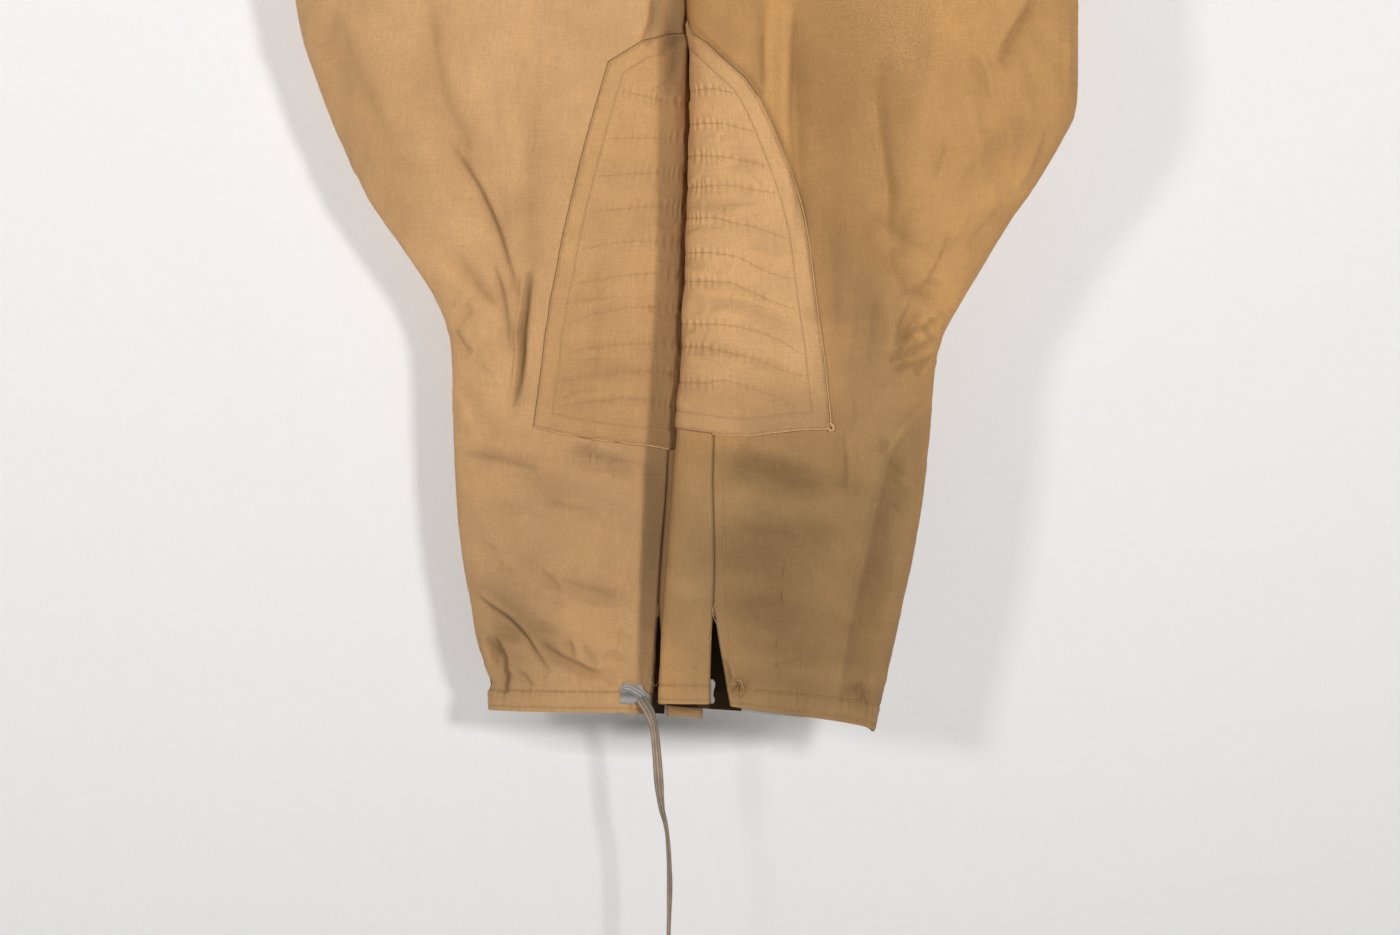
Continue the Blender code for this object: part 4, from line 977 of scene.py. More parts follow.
def knee_patch(leg, material, columns, rows):
    """A quilted patch over the inseam. Gives its rows of stitches."""
    bottom, top, near, far, quilt = patch_lines(leg)
    flat = between(bottom, top, near, far, columns, rows)
    length, up = flat[..., 0], flat[..., 1]
    points, normal, x, creased = leg.cloth(length, up)
    outline = np.vstack([bottom, far[1:], top[-2::-1], near[-2:0:-1]])
    edge = to_line(length, up, ring_of(outline))[0]
    inside = np.clip((edge - BORDER) / 6.0, 0, 1)
    moved = PATCH_THICK * (1 - np.exp(-edge / 0.55))
    moved += row_mark(edge - EDGE_STITCH, 0.55, 1.1) + row_mark(edge - BORDER, 0.5, 1.3)
    moved += pucker(length + up, edge - EDGE_STITCH - 2, 0.18, 8.0, 4.0, 1.0)
    near_row = np.full(np.shape(up), 1e9)
    for k, line in enumerate(quilt):
        away = to_line(length, up, line)[0]
        near_row = np.minimum(near_row, away)
        moved += pucker(length, away, 0.34, 6.3, 5.0, 3.0 + k) * inside * (
            1 + 1.4 * np.exp(-np.abs(length) / 25.0))
    puff = 1 - bell(near_row, 1, 5.0)
    moved += inside * (PATCH_PUFF * puff - bell(near_row, 0.4, 1.1))
    moved += small_creases(length, up, PATCH_CREASES[leg.name], inside)
    outer = points + normal * (LAYER_GAP + moved)[..., None]
    inner = points + normal * (lowest(creased, 2) - creased + LAYER_GAP * 0.5)[..., None]
    shown = np.clip((length + 45.0) / 20.0, 0, 1)       # the stretch that faces the photograph
    tone = tones(leg, x, up, shown, creased)
    sewn = bell(near_row, 0.05, 0.65) * inside * (1 + 3.0 * np.exp(-np.abs(length) / 28.0))
    sewn += bell(edge - EDGE_STITCH, 0.16, 0.8) + bell(edge - BORDER, 0.12, 0.8)
    # Painted shade along the patch's turned edge, with a faint painted highlight just inside it
    turned = bell(edge, EDGE_PAINTED_SHADE, 0.8) - bell(edge - 2.0, 0.10, 1.0)
    tone[..., 0] = 1 - (1 - tone[..., 0]) * (1 - turned) * (1 - sewn)
    piece = shell(f"{leg.name}_patch_cloth", outer, inner, flat, tone, tone, material, leg.side, 2)
    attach(piece, "root")
    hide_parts(f"{leg.name}_knee_patch")
    rows_of_stitches = [
        (ring_of(inset(outline, EDGE_STITCH)), PATCH_THICK),
        (ring_of(inset(outline, BORDER)), PATCH_THICK),
    ]
    closed = ring_of(outline)
    for line in quilt:
        fine = fill(line, 200)
        keep = (to_line(fine[:, 0], fine[:, 1], closed)[0] > BORDER + 1) & within(fine, outline)
        if keep.sum() > 4:
            rows_of_stitches.append((fine[keep], PATCH_THICK + 0.1))
    return rows_of_stitches


def within(places, outline):
    """Which places lie inside a closed outline."""
    x, y = places[:, 0], places[:, 1]
    inside = np.zeros(len(places), bool)
    for (x0, y0), (x1, y1) in zip(outline, np.roll(outline, -1, axis=0)):
        crosses = (y0 > y) != (y1 > y)
        at = x0 + (y - y0) * (x1 - x0) / (y1 - y0 if y1 != y0 else 1.0)
        inside ^= crosses & (x < at)
    return inside


def stitches(leg, name, lines, material, thickness=0.30, pitch=STITCH):
    """Rows of stitches on the cloth. Each line has flat points and its height on the cloth."""
    all_points, all_faces = [], []
    ring = np.array([(math.cos(a), math.sin(a)) for a in np.arange(5) * 2 * math.pi / 5])
    start = 0
    for line, lift in lines:
        line = np.asarray(line, float)
        run = distances(line)
        at = np.arange(pitch, run[-1] - pitch / 2, pitch)
        if len(at) < 2:
            continue
        ends = np.concatenate([at - 0.41 * pitch, at, at + 0.41 * pitch])
        flat = np.stack([np.interp(ends, run, line[:, k]) for k in range(2)], -1)
        points, normal = leg.cloth(flat[:, 0], flat[:, 1])[:2]
        n = len(at)
        lift = lift if np.ndim(lift) == 0 else np.interp(ends, run, lift)
        points = points + normal * np.broadcast_to(lift, (3 * n,))[:, None]
        tail, middle, head = points[:n], points[n:2 * n], points[2 * n:]
        out = normal[n:2 * n]
        along = head - tail
        along /= np.linalg.norm(along, axis=1)[:, None]
        across = np.cross(along, out)
        tips = (tail - 0.12 * out, head - 0.12 * out)
        rings = []
        for share in (0.25, 0.75):
            centre = tail + share * (head - tail) + 0.10 * out
            rings.append(centre[:, None] + thickness * (
                ring[None, :, :1] * across[:, None] + ring[None, :, 1:] * out[:, None]))
        block = np.concatenate([tips[0][:, None], rings[0], rings[1], tips[1][:, None]], 1)
        base = start + 12 * np.arange(n)[:, None]
        k = np.arange(5)
        following = (k + 1) % 5
        first = np.stack([np.zeros(5, int), 1 + following, 1 + k], -1)
        last = np.stack([np.full(5, 11), 6 + k, 6 + following], -1)
        side_a = np.stack([1 + k, 1 + following, 6 + following], -1)
        side_b = np.stack([1 + k, 6 + following, 6 + k], -1)
        pattern = np.concatenate([first, side_a, side_b, last])
        all_faces.append((base[:, None] + pattern[None]).reshape(-1, 3))
        all_points.append(block.reshape(-1, 3))
        start += 12 * n
    piece = new_mesh(name, np.concatenate(all_points), np.concatenate(all_faces), material)
    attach(piece, "root")


def panel_stitches(leg):
    """The stitch rows of a leg's panels."""
    lines = []
    for face, sign in (("front", 1.0), ("back", -1.0)):
        slit = SLITS[leg.name][0 if sign > 0 else 1]
        end = float(leg.girth(0.0, sign < 0)) - 1.5
        for height in (HEM_DEPTH, HEM_EDGE_ROW):
            first = slit * (1 - height / SLIT_HEIGHT) + 2.0
            lines.append((fill([(sign * first, height), (sign * end, height)], 40), 0.0))
        edge = [(sign * (slit * (1 - h / SLIT_HEIGHT) + 2.2), h) for h in (3.0, 40.0, 88.0)]
        lines.append((fill(edge, 40), 0.0))
    if leg.name == "left":
        lines.append((fill([(8.6, 236.0), (8.6, 100.0), (18.0, 24.0)], 80), 0.0))
        corner = [(15.5, 5.0), (30.0, 20.0), (18.0, 21.0), (15.5, 5.0)]
        lines.append((fill(corner, 40), 0.1))
    waist = WAIST_TOP - WAISTBAND_DEPTH
    if leg.name == "left":
        fly = [(38.0, waist - 3), (38.0, waist - 130), (32.0, waist - 155), (16.0, waist - 168),
               (3.0, waist - 172)]
        lines.append((fill(fly, 90), 0.0))
    return lines


def bartack(flat_middle, run, width, count=9):
    """A short bar of close stitches."""
    middle, run = np.asarray(flat_middle, float), np.asarray(run, float)
    across = np.array([-run[1], run[0]]) / np.linalg.norm(run)
    zigzag = []
    for k in range(count):
        place = middle + run * (k / (count - 1) - 0.5)
        zigzag.append(place + across * width * (0.5 if k % 2 else -0.5))
    return np.array(zigzag)


def strip(leg, name, node, corners, offset, thick, material, columns=24, rows=14,
          wavy=0.0, stripes=0, far=None):
    """A small strip of cloth or tape on or under a panel, between its bottom and top lines."""
    bottom, top = (np.array(line, float) for line in corners)
    near = np.array([bottom[0], top[0]])
    far = np.array([bottom[-1], top[-1]] if far is None else far)
    flat = between(bottom, top, near, far, columns, rows)
    length, up = flat[..., 0], flat[..., 1]
    points, normal = leg.cloth(length, up)[:2]
    moved = offset + wavy * np.sin(length / 2.7 + up / 5.0) * np.cos(up / 3.9)
    outer = points + normal * moved[..., None]
    inner = points + normal * (moved - thick)[..., None]
    tone = plain_tone(flat.shape[:2])
    if stripes:
        v = np.linspace(0, 1, rows)[:, None] * np.ones((1, columns))
        groove = (0.5 - 0.5 * np.cos(2 * math.pi * stripes * v)) ** 3
        # Painted shade in the tape's grooves and along its bottom edge
        tone[..., 0] = 0.5 * groove + 0.45 * np.exp(-v / 0.07)
        tone[..., 1] = 0.55
        outer -= normal * (0.5 * groove)[..., None]
    piece = shell(name, outer, inner, flat, tone, tone, material, leg.side)
    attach(piece, "root")
    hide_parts(node)


def waistband(leg, material):
    """Half of the waistband, from the front closure round to the centre back."""
    low, high = WAIST_TOP - WAISTBAND_DEPTH + SEAM_GAP / 2, WAIST_TOP
    heights = np.r_[0, 0.5, 1.2, 2.2, 3.5, np.linspace(5, 33, 9), 34.5, 35.6, 36.6, 37.3, 37.85]
    heights = low + heights * (high - low) / heights[-1]
    t = np.linspace(0.0004, 1.9996, 170)
    around = np.broadcast_to(t, (len(heights), len(t)))
    up = np.broadcast_to(heights[:, None], around.shape)
    base = leg.folded(around, up)
    normal = leg.facing(leg.folded, around, up)
    edge = np.minimum(up - low, high - up)
    across = np.minimum(around, 2 - around) * float(leg.girth(WAIST_TOP))
    moved = 0.6 + roll(edge, 0.7, 1.0) + row_mark(edge - 2.2, 0.3, 0.9)
    moved = moved + 0.25 * np.sin(around * 19.0) * np.sin(up / 9.0)
    moved = moved + roll(across, 0.5, 1.2)
    outer = base + normal * moved[..., None]
    inner = base + normal * (moved - 2.1)[..., None]
    uv = np.stack([across, up], -1)
    tone = plain_tone(around.shape)
    piece = shell(f"{leg.name}_waistband_cloth", outer, inner, uv, tone, tone, material, leg.side)
    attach(piece, "root")
    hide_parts(f"{leg.name}_waistband")
    length = float(leg.girth(WAIST_TOP) + leg.girth(WAIST_TOP, True))


def tape(material):
    """The drawstring's hanging end: a flat tape, folded along its length and twisted."""
    route = through([(x, -forward, height - WAIST_TOP) for x, forward, height in TAPE_ROUTE], 1.6)
    run = distances(route)
    twist = table(TWIST, TWIST_COLUMNS)
    turn = np.radians(smooth(twist["run"], twist["turn"], run))
    width = smooth(twist["run"], twist["width"], run)
    along = np.gradient(route, axis=0)
    along /= np.linalg.norm(along, axis=1)[:, None]
    front = np.array([0.0, -1.0, 0.0])
    across = np.cross(along, front)
    across /= np.linalg.norm(across, axis=1)[:, None]
    out = np.cross(across, along)
    sides = 28
    a = np.arange(sides) * 2 * math.pi / sides
    groove = 0.5 - 0.5 * np.cos(3 * math.pi * np.cos(a))
    lobes = 1 - 0.55 * groove
    px = 0.5 * width[:, None] * np.cos(a)
    py = 0.5 * TAPE_THICK * np.sin(a) * lobes * (1 + 0.15 * np.sin(run / 5.0)[:, None])
    x = px * np.cos(turn)[:, None] - py * np.sin(turn)[:, None]
    y = px * np.sin(turn)[:, None] + py * np.cos(turn)[:, None]
    points = route[:, None] + x[..., None] * across[:, None] + y[..., None] * out[:, None]
    count = len(route)
    index = np.arange(count * sides).reshape(count, sides)
    following = np.roll(index, -1, axis=1)
    faces = np.stack([index[:-1], following[:-1], following[1:], index[1:]], -1).reshape(-1, 4)
    flat = points.reshape(-1, 3)
    caps = [flat[index[0]].mean(axis=0), flat[index[-1]].mean(axis=0)]
    flat = np.vstack([flat, caps])
    first = np.stack([following[0], index[0], np.full(sides, len(flat) - 2)], -1)
    last = np.stack([index[-1], following[-1], np.full(sides, len(flat) - 1)], -1)
    tris = np.concatenate([faces[:, [0, 1, 2]], faces[:, [0, 2, 3]], first, last])
    uv = np.zeros((len(flat), 2))
    uv[:-2, 0] = np.tile(px[0], count)
    uv[:-2, 1] = np.repeat(run, sides)
    tone = np.zeros((len(flat), 4))
    # Painted shade in the tape's grooves
    tone[:-2, 0] = np.tile(0.62 * groove, count)
    strand = 0.5 + 0.5 * np.sin(2.2 * np.cos(a)[None, :] + run[:, None] / 38.0)
    tone[:-2, 1] = np.clip(0.15 + 0.5 * strand + run[:, None] / 420.0, 0, 1).ravel()
    piece = new_mesh("drawstring_tape", flat, tris[:, ::-1], material, uv, tone)
    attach(piece, "root")
    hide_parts("drawstring")


def thread_end(name, places, radius, material):
    """A loose thread as a fine tube."""
    curve = bpy.data.curves.new(name, "CURVE")
    curve.dimensions = "3D"
    curve.bevel_depth = radius * MM
    curve.bevel_resolution = 1
    spline = curve.splines.new("POLY")
    route = through(places, 0.8)
    spline.points.add(len(route) - 1)
    for point, co in zip(spline.points, route * MM):
        point.co = (*co, 1.0)
    piece = bpy.data.objects.new(name, curve)
    curve.materials.append(material)
    link(piece)
    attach(piece, "root")


class Nodes:
    """A material's nodes, added and joined in one call each."""

    def __init__(self, name):
        self.material = bpy.data.materials.new(name)
        self.material.use_nodes = True
        self.tree = self.material.node_tree
        self.shader = self.tree.nodes["Principled BSDF"]
        self.output = self.tree.nodes["Material Output"]

    def add(self, kind, inputs=None, **settings):
        node = self.tree.nodes.new(kind)
        for key, value in settings.items():
            setattr(node, key, value)
        for key, value in (inputs or {}).items():
            if isinstance(value, bpy.types.NodeSocket):
                self.tree.links.new(value, node.inputs[key])
            else:
                node.inputs[key].default_value = value
        return node

    def noise(self, place, scale, detail, roughness=0.5):
        """Uneven values from a noise texture."""
        return self.add("ShaderNodeTexNoise", {"Vector": place, "Scale": scale, "Detail": detail,
                                               "Roughness": roughness}).outputs["Fac"]

    def stretch(self, place, scale):
        """Texture places drawn out by a scale for each axis."""
        return self.add("ShaderNodeMapping", {"Vector": place, "Scale": scale}).outputs[0]

    def calc(self, operation, a, b):
        return self.add("ShaderNodeMath", {0: a, 1: b}, operation=operation).outputs[0]

    def spread(self, value, low, high, start=0.3, end=0.7):
        """A value between START and END as one between LOW and HIGH."""
        return self.add("ShaderNodeMapRange", {"Value": value, "From Min": start, "From Max": end,
                                               "To Min": low, "To Max": high}).outputs[0]

    def scaled(self, colour, value):
        """A colour made darker or lighter."""
        return self.add("ShaderNodeVectorMath", {0: colour, "Scale": value},
                        operation="SCALE").outputs[0]

    def bump(self, height, strength, distance):
        return self.add("ShaderNodeBump", {"Strength": strength, "Distance": distance,
                                           "Height": height}).outputs[0]

    def tone(self):
        """The darkness, mostly painted shade, and olive kept with each point."""
        tone = self.add("ShaderNodeAttribute", attribute_name="tone").outputs["Color"]
        parts = self.add("ShaderNodeSeparateColor", {"Color": tone})
        return parts.outputs["Red"], parts.outputs["Green"]

    def set(self, **values):
        for key, value in values.items():
            socket = self.shader.inputs[key.replace("_", " ")]
            if isinstance(value, bpy.types.NodeSocket):
                self.tree.links.new(value, socket)
            else:
                socket.default_value = value


def rgb(r, g, b):
    return (r, g, b, 1.0)


def cloth_material(name, colour, olive, weave=0.5):
    """Cotton twill: fine slanting ridges, uneven threads and wear, with the tone attribute's
    painted shade and shadows and its darker, olive places.
    """
    n = Nodes(name)
    flat = n.add("ShaderNodeUVMap", uv_map="flat").outputs["UV"]
    dark, greener = n.tone()
    place = n.add("ShaderNodeTexCoord").outputs["Object"]
    slanting = n.add("ShaderNodeMapping", {"Vector": flat, "Rotation": (0, 0, 1.05)}).outputs[0]
    twill = n.add("ShaderNodeTexWave", {
        "Vector": slanting, "Scale": 300.0, "Distortion": 1.4, "Detail": 2.0, "Detail Scale": 1.5,
    }, wave_type="BANDS", bands_direction="X").outputs["Fac"]
    slub = n.noise(n.stretch(flat, (900.0, 45.0, 1.0)), 1.0, 3.0, 0.6)
    slub_across = n.noise(n.stretch(flat, (35.0, 1000.0, 1.0)), 1.0, 3.0, 0.6)
    base = n.add("ShaderNodeMix", {0: greener, 6: rgb(*colour), 7: rgb(*olive)},
                 data_type="RGBA", blend_type="MIX").outputs[2]
    for value, uneven in (
        (n.noise(place, 9.0, 5.0, 0.6), 0.07), (n.noise(place, 34.0, 3.0), 0.05), (slub, 0.055),
        (slub_across, 0.05), (n.noise(place, 900.0, 2.0), 0.10), (twill, 0.03),
    ):
        base = n.scaled(base, n.spread(value, 1 - uneven, 1 + uneven))
    # Darkened by the tone attribute: painted shade and shadows, and darker places
    base = n.scaled(base, n.calc("SUBTRACT", 1.0, dark))
    height = n.calc("ADD", n.calc("ADD", twill, slub), slub_across)
    n.set(Base_Color=base, Roughness=0.82, Normal=n.bump(height, weave, 0.00022),
          Sheen_Weight=0.06, Sheen_Roughness=0.4, Specular_IOR_Level=0.2)
    return n.material


def plain_material(name, colour, roughness=0.85, sheen=0.1, grain=0.06, scale=500.0, bump=0.0003):
    """A plain finish with a slight grain."""
    n = Nodes(name)
    noise = n.noise(n.add("ShaderNodeTexCoord").outputs["Object"], scale, 3.0)
    n.set(Base_Color=n.scaled(colour, n.spread(noise, 1 - grain, 1 + grain)),
          Roughness=roughness, Sheen_Weight=sheen, Normal=n.bump(noise, 0.5, bump))
    return n.material


def tape_material(name, dark, light):
    """Woven tape with paler strands and painted shade in the creases along it."""
    n = Nodes(name)
    flat = n.add("ShaderNodeUVMap", uv_map="flat").outputs["UV"]
    place = n.add("ShaderNodeTexCoord").outputs["Object"]
    groove, strand = n.tone()
    weave = n.add("ShaderNodeTexWave", {"Vector": flat, "Scale": 260.0, "Distortion": 1.0},
                  wave_type="BANDS", bands_direction="Y").outputs["Fac"]
    shade = n.calc("MULTIPLY", n.noise(place, 90.0, 4.0), strand)
    ramp = n.add("ShaderNodeValToRGB", {"Fac": shade})
    for stop, position, colour in zip(ramp.color_ramp.elements, (0.05, 0.50), (dark, light)):
        stop.position = position
        stop.color = rgb(*colour)
    shaded = n.scaled(ramp.outputs["Color"], n.calc("SUBTRACT", 1.0, groove))
    n.set(Base_Color=shaded, Roughness=0.85, Sheen_Weight=0.05, Normal=n.bump(weave, 0.6, 0.0002))
    return n.material


def backdrop_material():
    """A white wall that is clear from behind, so that it hides no view of the garment's back. It
    glows a little as painted light, and is painted darker towards the bottom and with a shadow
    below the hems.
    """
    n = Nodes("white_wall")
    place = n.add("ShaderNodeTexCoord").outputs["Object"]
    level = n.add("ShaderNodeSeparateXYZ", {"Vector": place}).outputs["Y"]
    # A painted shadow below the hems
    near_hem = n.add("ShaderNodeMapping", {"Vector": place, "Location": (0.03, 2.0, 0.0)})
    spot = n.add("ShaderNodeTexGradient", {
        "Vector": n.stretch(near_hem.outputs[0], (6.5, 30.0, 0.0))}, gradient_type="SPHERICAL")
    painted_hem_shadow = n.spread(spot.outputs["Fac"], 1.0, 0.40, 0.0, 1.0)
    # Painted shade towards the wall's bottom, and a glow that is painted light
    white, glow = (n.calc("MULTIPLY", n.spread(level, low, high, -2.2, -1.3), painted_hem_shadow)
                   for low, high in ((0.60, 0.72), (0.20, 0.26)))
    colour = n.add("ShaderNodeCombineColor", {0: white, 1: white, 2: white}).outputs[0]
    n.set(Base_Color=colour, Roughness=0.9, Emission_Color=rgb(1.0, 0.995, 1.0),
          Emission_Strength=glow, Normal=n.bump(n.noise(place, 90.0, 5.0, 0.65), 0.4, 0.003))
    behind = n.add("ShaderNodeNewGeometry").outputs["Backfacing"]
    shadow = n.add("ShaderNodeLightPath").outputs["Is Shadow Ray"]
    see = n.add("ShaderNodeBsdfTransparent").outputs[0]
    mix = n.add("ShaderNodeMixShader", {
        0: n.calc("MAXIMUM", behind, shadow), 1: n.shader.outputs[0], 2: see})
    n.tree.links.new(mix.outputs[0], n.output.inputs["Surface"])
    return n.material


def plane(name, size, location, turn, material):
    """A flat piece of the room."""
    mesh = bpy.data.meshes.new(name)
    w, h = size[0] / 2, size[1] / 2
    mesh.from_pydata([(-w, -h, 0), (w, -h, 0), (w, h, 0), (-w, h, 0)], [], [(0, 1, 2, 3)])
    mesh.materials.append(material)
    piece = bpy.data.objects.new(name, mesh)
    piece.location = location
    piece.rotation_euler = turn
    link(piece)


def lamp(name, location, aim, size, power, colour=(1.0, 1.0, 1.0)):
    """A soft square lamp that looks at a point."""
    light = bpy.data.lights.new(name, "AREA")
    light.shape = "SQUARE"
    light.size = size
    light.energy = power
    light.color = colour
    piece = bpy.data.objects.new(name, light)
    piece.location = location
    piece.rotation_mode = "QUATERNION"
    piece.rotation_quaternion = (Vector(aim) - Vector(location)).to_track_quat("-Z", "Y")
    link(piece)


# The camera, level and square to the garment as in the photograph
camera_data = bpy.data.cameras.new("photo_camera")
camera_data.sensor_fit = "HORIZONTAL"
camera_data.sensor_width = 36.0
camera_data.lens = 36.0 * CAMERA_FAR / PHOTO_WIDE
camera_data.clip_end = 100.0
camera = bpy.data.objects.new("photo_camera", camera_data)
camera.location = (PHOTO_MIDDLE[0] * MM, -CAMERA_FAR * MM, (PHOTO_MIDDLE[1] - WAIST_TOP) * MM)
camera.rotation_euler = (math.pi / 2, 0.0, 0.0)
link(camera)
bpy.context.scene.camera = camera

tape(tape_material("tape_weave", (0.215, 0.185, 0.155), (0.52, 0.38, 0.265)))
tape_grey = tape_material("tape_weave_grey", (0.25, 0.24, 0.22), (0.50, 0.47, 0.43))

TAN = (0.62, 0.360, 0.164)
OLIVE = (0.37, 0.235, 0.112)
twill_right = cloth_material("tan_twill_right", TAN, OLIVE)
twill_left = cloth_material("tan_twill_left", (0.575, 0.312, 0.117), OLIVE)
patches = {
    "right": cloth_material("tan_twill_right_patch", (0.61, 0.345, 0.147), OLIVE, weave=0.7),
    "left": cloth_material("tan_twill_left_patch", (0.685, 0.395, 0.176), OLIVE, weave=0.7),
}
thread_tan = plain_material("sewing_thread", (0.56, 0.34, 0.155), 0.8, 0.05, 0.12, 900.0)
thread_patch = plain_material("sewing_thread_patch", (0.47, 0.285, 0.125), 0.8, 0.05, 0.12, 900.0)
thread_edge = plain_material("patch_edge", (0.61, 0.352, 0.156), 0.85, 0.05, 0.1, 900.0)
thread_dark = plain_material("sewing_thread_dark", (0.42, 0.26, 0.12), 0.8, 0.05, 0.12, 900.0)
grey_cotton = plain_material("grey_cotton", (0.29, 0.275, 0.25), 0.9, 0.1, 0.08, 700.0)
button_finish = plain_material("horn_button", (0.16, 0.095, 0.05), 0.35, 0.0, 0.2, 120.0, 0.0001)

left = Leg("left", 1.0, LEFT_LEG, LEFT_HEM)
right = Leg("right", -1.0, RIGHT_LEG, RIGHT_HEM)
TOP_EDGE = WAIST_TOP - WAISTBAND_DEPTH - SEAM_GAP / 2
front_rows = np.append(place_row((
    (0.0, 6.0, 0.9), (6.0, 14.5, 1.7), (14.5, 20.5, 0.75), (20.5, 120.0, 1.7), (120.0, 262.0, 2.2),
    (262.0, 352.0, 1.6), (352.0, 612.0, 2.1), (612.0, TOP_EDGE - 1, 6.0))), TOP_EDGE)
back_rows = np.append(place_row((
    (0.0, 6.0, 1.0), (6.0, 14.5, 2.8), (14.5, 20.5, 1.0), (20.5, TOP_EDGE - 1, 3.4))), TOP_EDGE)
for leg, twill in ((left, twill_left), (right, twill_right)):
    panel(leg, "front", front_rows, 200, twill)
    panel(leg, "back", back_rows, 116, twill)
    waistband(leg, twill)
    quilting = knee_patch(leg, patches[leg.name], 138, 322)
    stitches(leg, f"{leg.name}_patch_stitches", quilting, thread_patch, 0.33)
    stitches(leg, f"{leg.name}_seam_stitches", panel_stitches(leg), thread_dark)

# Bar tacks at the slits' tops, and the small worked bar on the right hem
bars = [(bartack((1.0, SLIT_HEIGHT - 6), (0.0, 10.0), 3.0, 13), 0.3)]
stitches(left, "left_bar_tack", bars, thread_tan, 0.32, 1.1)
stitches(right, "right_bar_tack", bars, thread_tan, 0.32, 1.1)
mark = right.flat_line(seen([(602, 697), (602, 685)]))
stitches(right, "hem_bar", [(bartack(mark.mean(axis=0), mark[1] - mark[0], 3.4, 15), 0.3)],
         thread_tan, 0.3, 1.0)

waist = WAIST_TOP - WAISTBAND_DEPTH
strip(left, "fly_underlap_cloth", "fly_underlap",
      ([(1.0, waist - 170.0), (37.0, waist - 170.0)], [(1.0, waist - 1), (37.0, waist - 1)]),
      -1.9, 1.0, twill_right, rows=40)
strip(left, "left_front_facing_cloth", "left_front_hem_facing",
      ([(24.0, -3.0), (50.0, -2.6), (78.0, -1.0)], [(24.0, 22.0), (78.0, 22.0)]),
      -2.2, 0.7, grey_cotton, 60, 16, 0.25)
strip(left, "left_back_facing_cloth", "left_back_hem_facing",
      ([(-60.0, 0.5), (0.2, 0.5)], [(-60.0, 23.0), (0.0, 23.0)]),
      -2.2, 0.7, grey_cotton, 60, 28, 0.3,
      far=[(0.2, 0.5), (1.4, 4.0), (0.0, 8.0), (0.3, 12.0), (1.6, 16.0), (2.0, 20.0), (0.0, 23.0)])
strip(right, "right_back_facing_cloth", "right_back_hem_facing",
      ([(-60.0, 0.5), (-8.0, 0.5)], [(-60.0, 23.0), (-8.0, 23.0)]),
      -2.2, 0.7, grey_cotton, 50, 14, 0.15)
flap = right.flat_line(seen([(619, 706), (645, 705.5), (619, 688), (641, 686)]))
strip(right, "drawstring_flap", "drawstring_fold", (flap[:2], flap[2:]),
      LAYER_GAP + 1.6, 1.1, tape_grey, 36, 26, 0.34, 1)
over = right.flat_line(seen([(620, 692), (628, 693.5), (637, 699), (643.5, 704), (623, 684.5),
                             (631, 685.5), (641, 690), (649, 697)]))
strip(right, "drawstring_over", "drawstring_fold", (over[:4], over[4:]),
      LAYER_GAP + 3.4, 1.3, tape_grey, 44, 30, 0.35, 3)

# The patches' turned edges, where they stand proud: thickness, and the line in the photograph
for name, leg, radius, line in (
    ("left_patch_side_edge", left, 0.6,
     ((758, 98), (773, 130), (784, 157), (796, 190), (806, 228), (812, 271), (818, 318),
      (824, 362), (828, 399), (831, 427))),
    ("left_patch_low_edge", left, 0.6,
     ((830, 429), (802, 430), (773, 433), (743, 436), (711, 434), (690, 433))),
    ("left_patch_corner", left, 1.15, ((829, 423), (833, 427), (832, 430), (828, 431))),
    ("right_patch_low_edge", right, 0.6,
     ((531, 426), (565, 434), (602, 440), (652, 446), (674, 449))),
):
    thread_end(name, leg.raised(leg.flat_line(seen(line)), 1.6), radius, thread_edge)

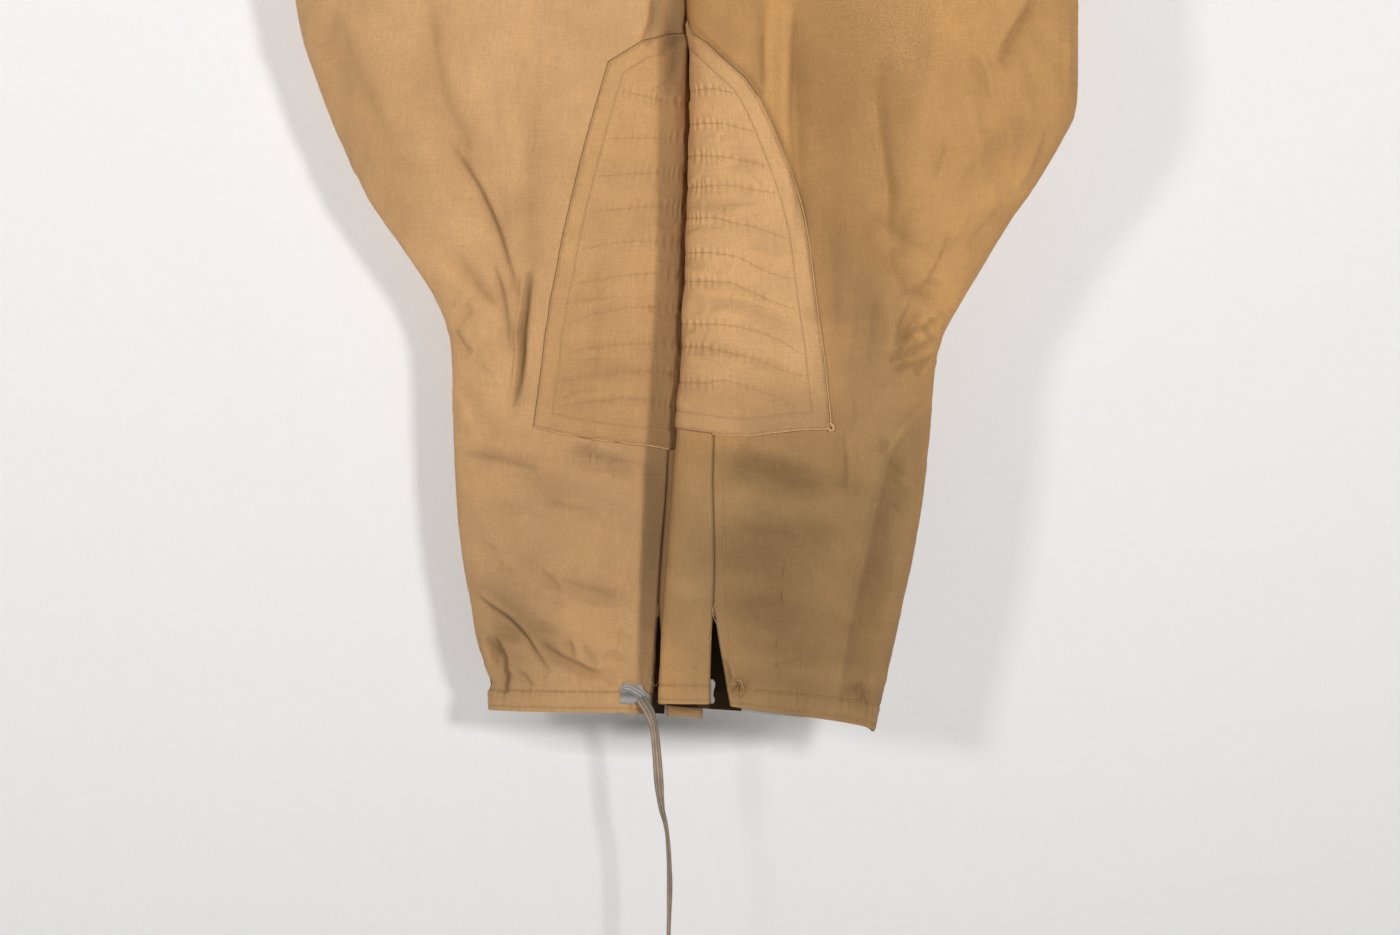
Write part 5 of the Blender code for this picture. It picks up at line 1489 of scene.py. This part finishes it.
# Snags and loose threads on the left hem: length from the inseam, height, lift
for name, places in (
    ("snag_a", ((-10.6, 36.8, 0.3), (-12.4, 34.6, 1.4), (-14.8, 36.2, 1.6), (-13.0, 38.4, 0.4))),
    ("snag_b", ((-36.0, 36.0, 0.3), (-37.8, 34.4, 1.3), (-39.4, 36.4, 1.4), (-37.4, 38.0, 0.3))),
    ("knot_a", ((18.0, 20.0, 0.3), (22.5, 25.5, 1.6), (26.5, 17.0, 1.8), (20.5, 9.0, 0.6))),
    ("knot_b", ((26.0, 9.0, 0.3), (31.0, 14.0, 1.6), (36.0, 21.0, 0.4))),
    ("knot_c", ((16.5, 31.0, 0.3), (21.0, 27.0, 1.3), (24.0, 22.0, 1.5), (27.0, 24.0, 0.3))),
    ("snag_c", ((-2.0, 70.0, 0.3), (-3.6, 66.0, 1.6), (-1.0, 62.0, 1.2), (-2.6, 58.0, 0.3))),
):
    flat = np.array(places)
    thread_end(name, left.raised(flat, flat[:, 2]), 0.26, thread_tan)
# Loose threads: place in the photograph, lift
for name, leg, places in (
    ("thread_a", right, ((632, 706, 1.6), (630, 714, 3.2), (622, 722, 4.5))),
    ("thread_b", right, ((628, 707, 1.6), (633, 713, 2.4), (631, 719, 3.0))),
    ("thread_c", right, ((652, 672, 1.4), (648, 680, 3.0), (654, 686, 4.2), (660, 682, 3.4))),
    ("thread_d", left, ((716, 604, 1.2), (712, 612, 2.4), (715, 622, 2.0), (719, 628, 1.2))),
    ("thread_e", left, ((733, 702, 1.2), (741, 698, 2.2), (742, 688, 2.0), (738, 680, 1.2))),
):
    places = np.array(places)
    flat = leg.flat_line(seen(places[:, :2]))
    thread_end(name, leg.raised(flat, places[:, 2]), 0.22, thread_tan)

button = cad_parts["waist_button"]
button.data.materials.clear()
button.data.materials.append(button_finish)

plane("wall", (30.0, 14.0), (0.0, 0.118, 1.0), (math.pi / 2, 0.0, math.radians(4.0)),
      backdrop_material())
plane("floor", (30.0, 30.0), (0.0, 0.0, -1.36), (0.0, 0.0, 0.0),
      plain_material("pale_floor", (0.62, 0.62, 0.62), 0.7, 0.0, 0.01, 20.0))
middle = (0.0, 0.0, -0.75)
lamp("lamp_from_right", (1.0, -2.4, -0.46), middle, 0.28, 31.0, (1.0, 0.99, 0.98))
lamp("lamp_from_left", (-1.4, -2.3, -0.46), middle, 0.32, 22.0, (1.0, 0.99, 0.98))
lamp("lamp_behind", (-1.8, 3.4, 1.5), (0.0, 0.0, -0.5), 2.6, 40.0)

world = bpy.data.worlds.new("room_light")
world.use_nodes = True
world.node_tree.nodes["Background"].inputs[0].default_value = (1.0, 1.0, 1.0, 1.0)
world.node_tree.nodes["Background"].inputs[1].default_value = 0.17
bpy.context.scene.world = world
bpy.context.scene.view_settings.view_transform = "Standard"
bpy.context.scene.view_settings.look = "None"
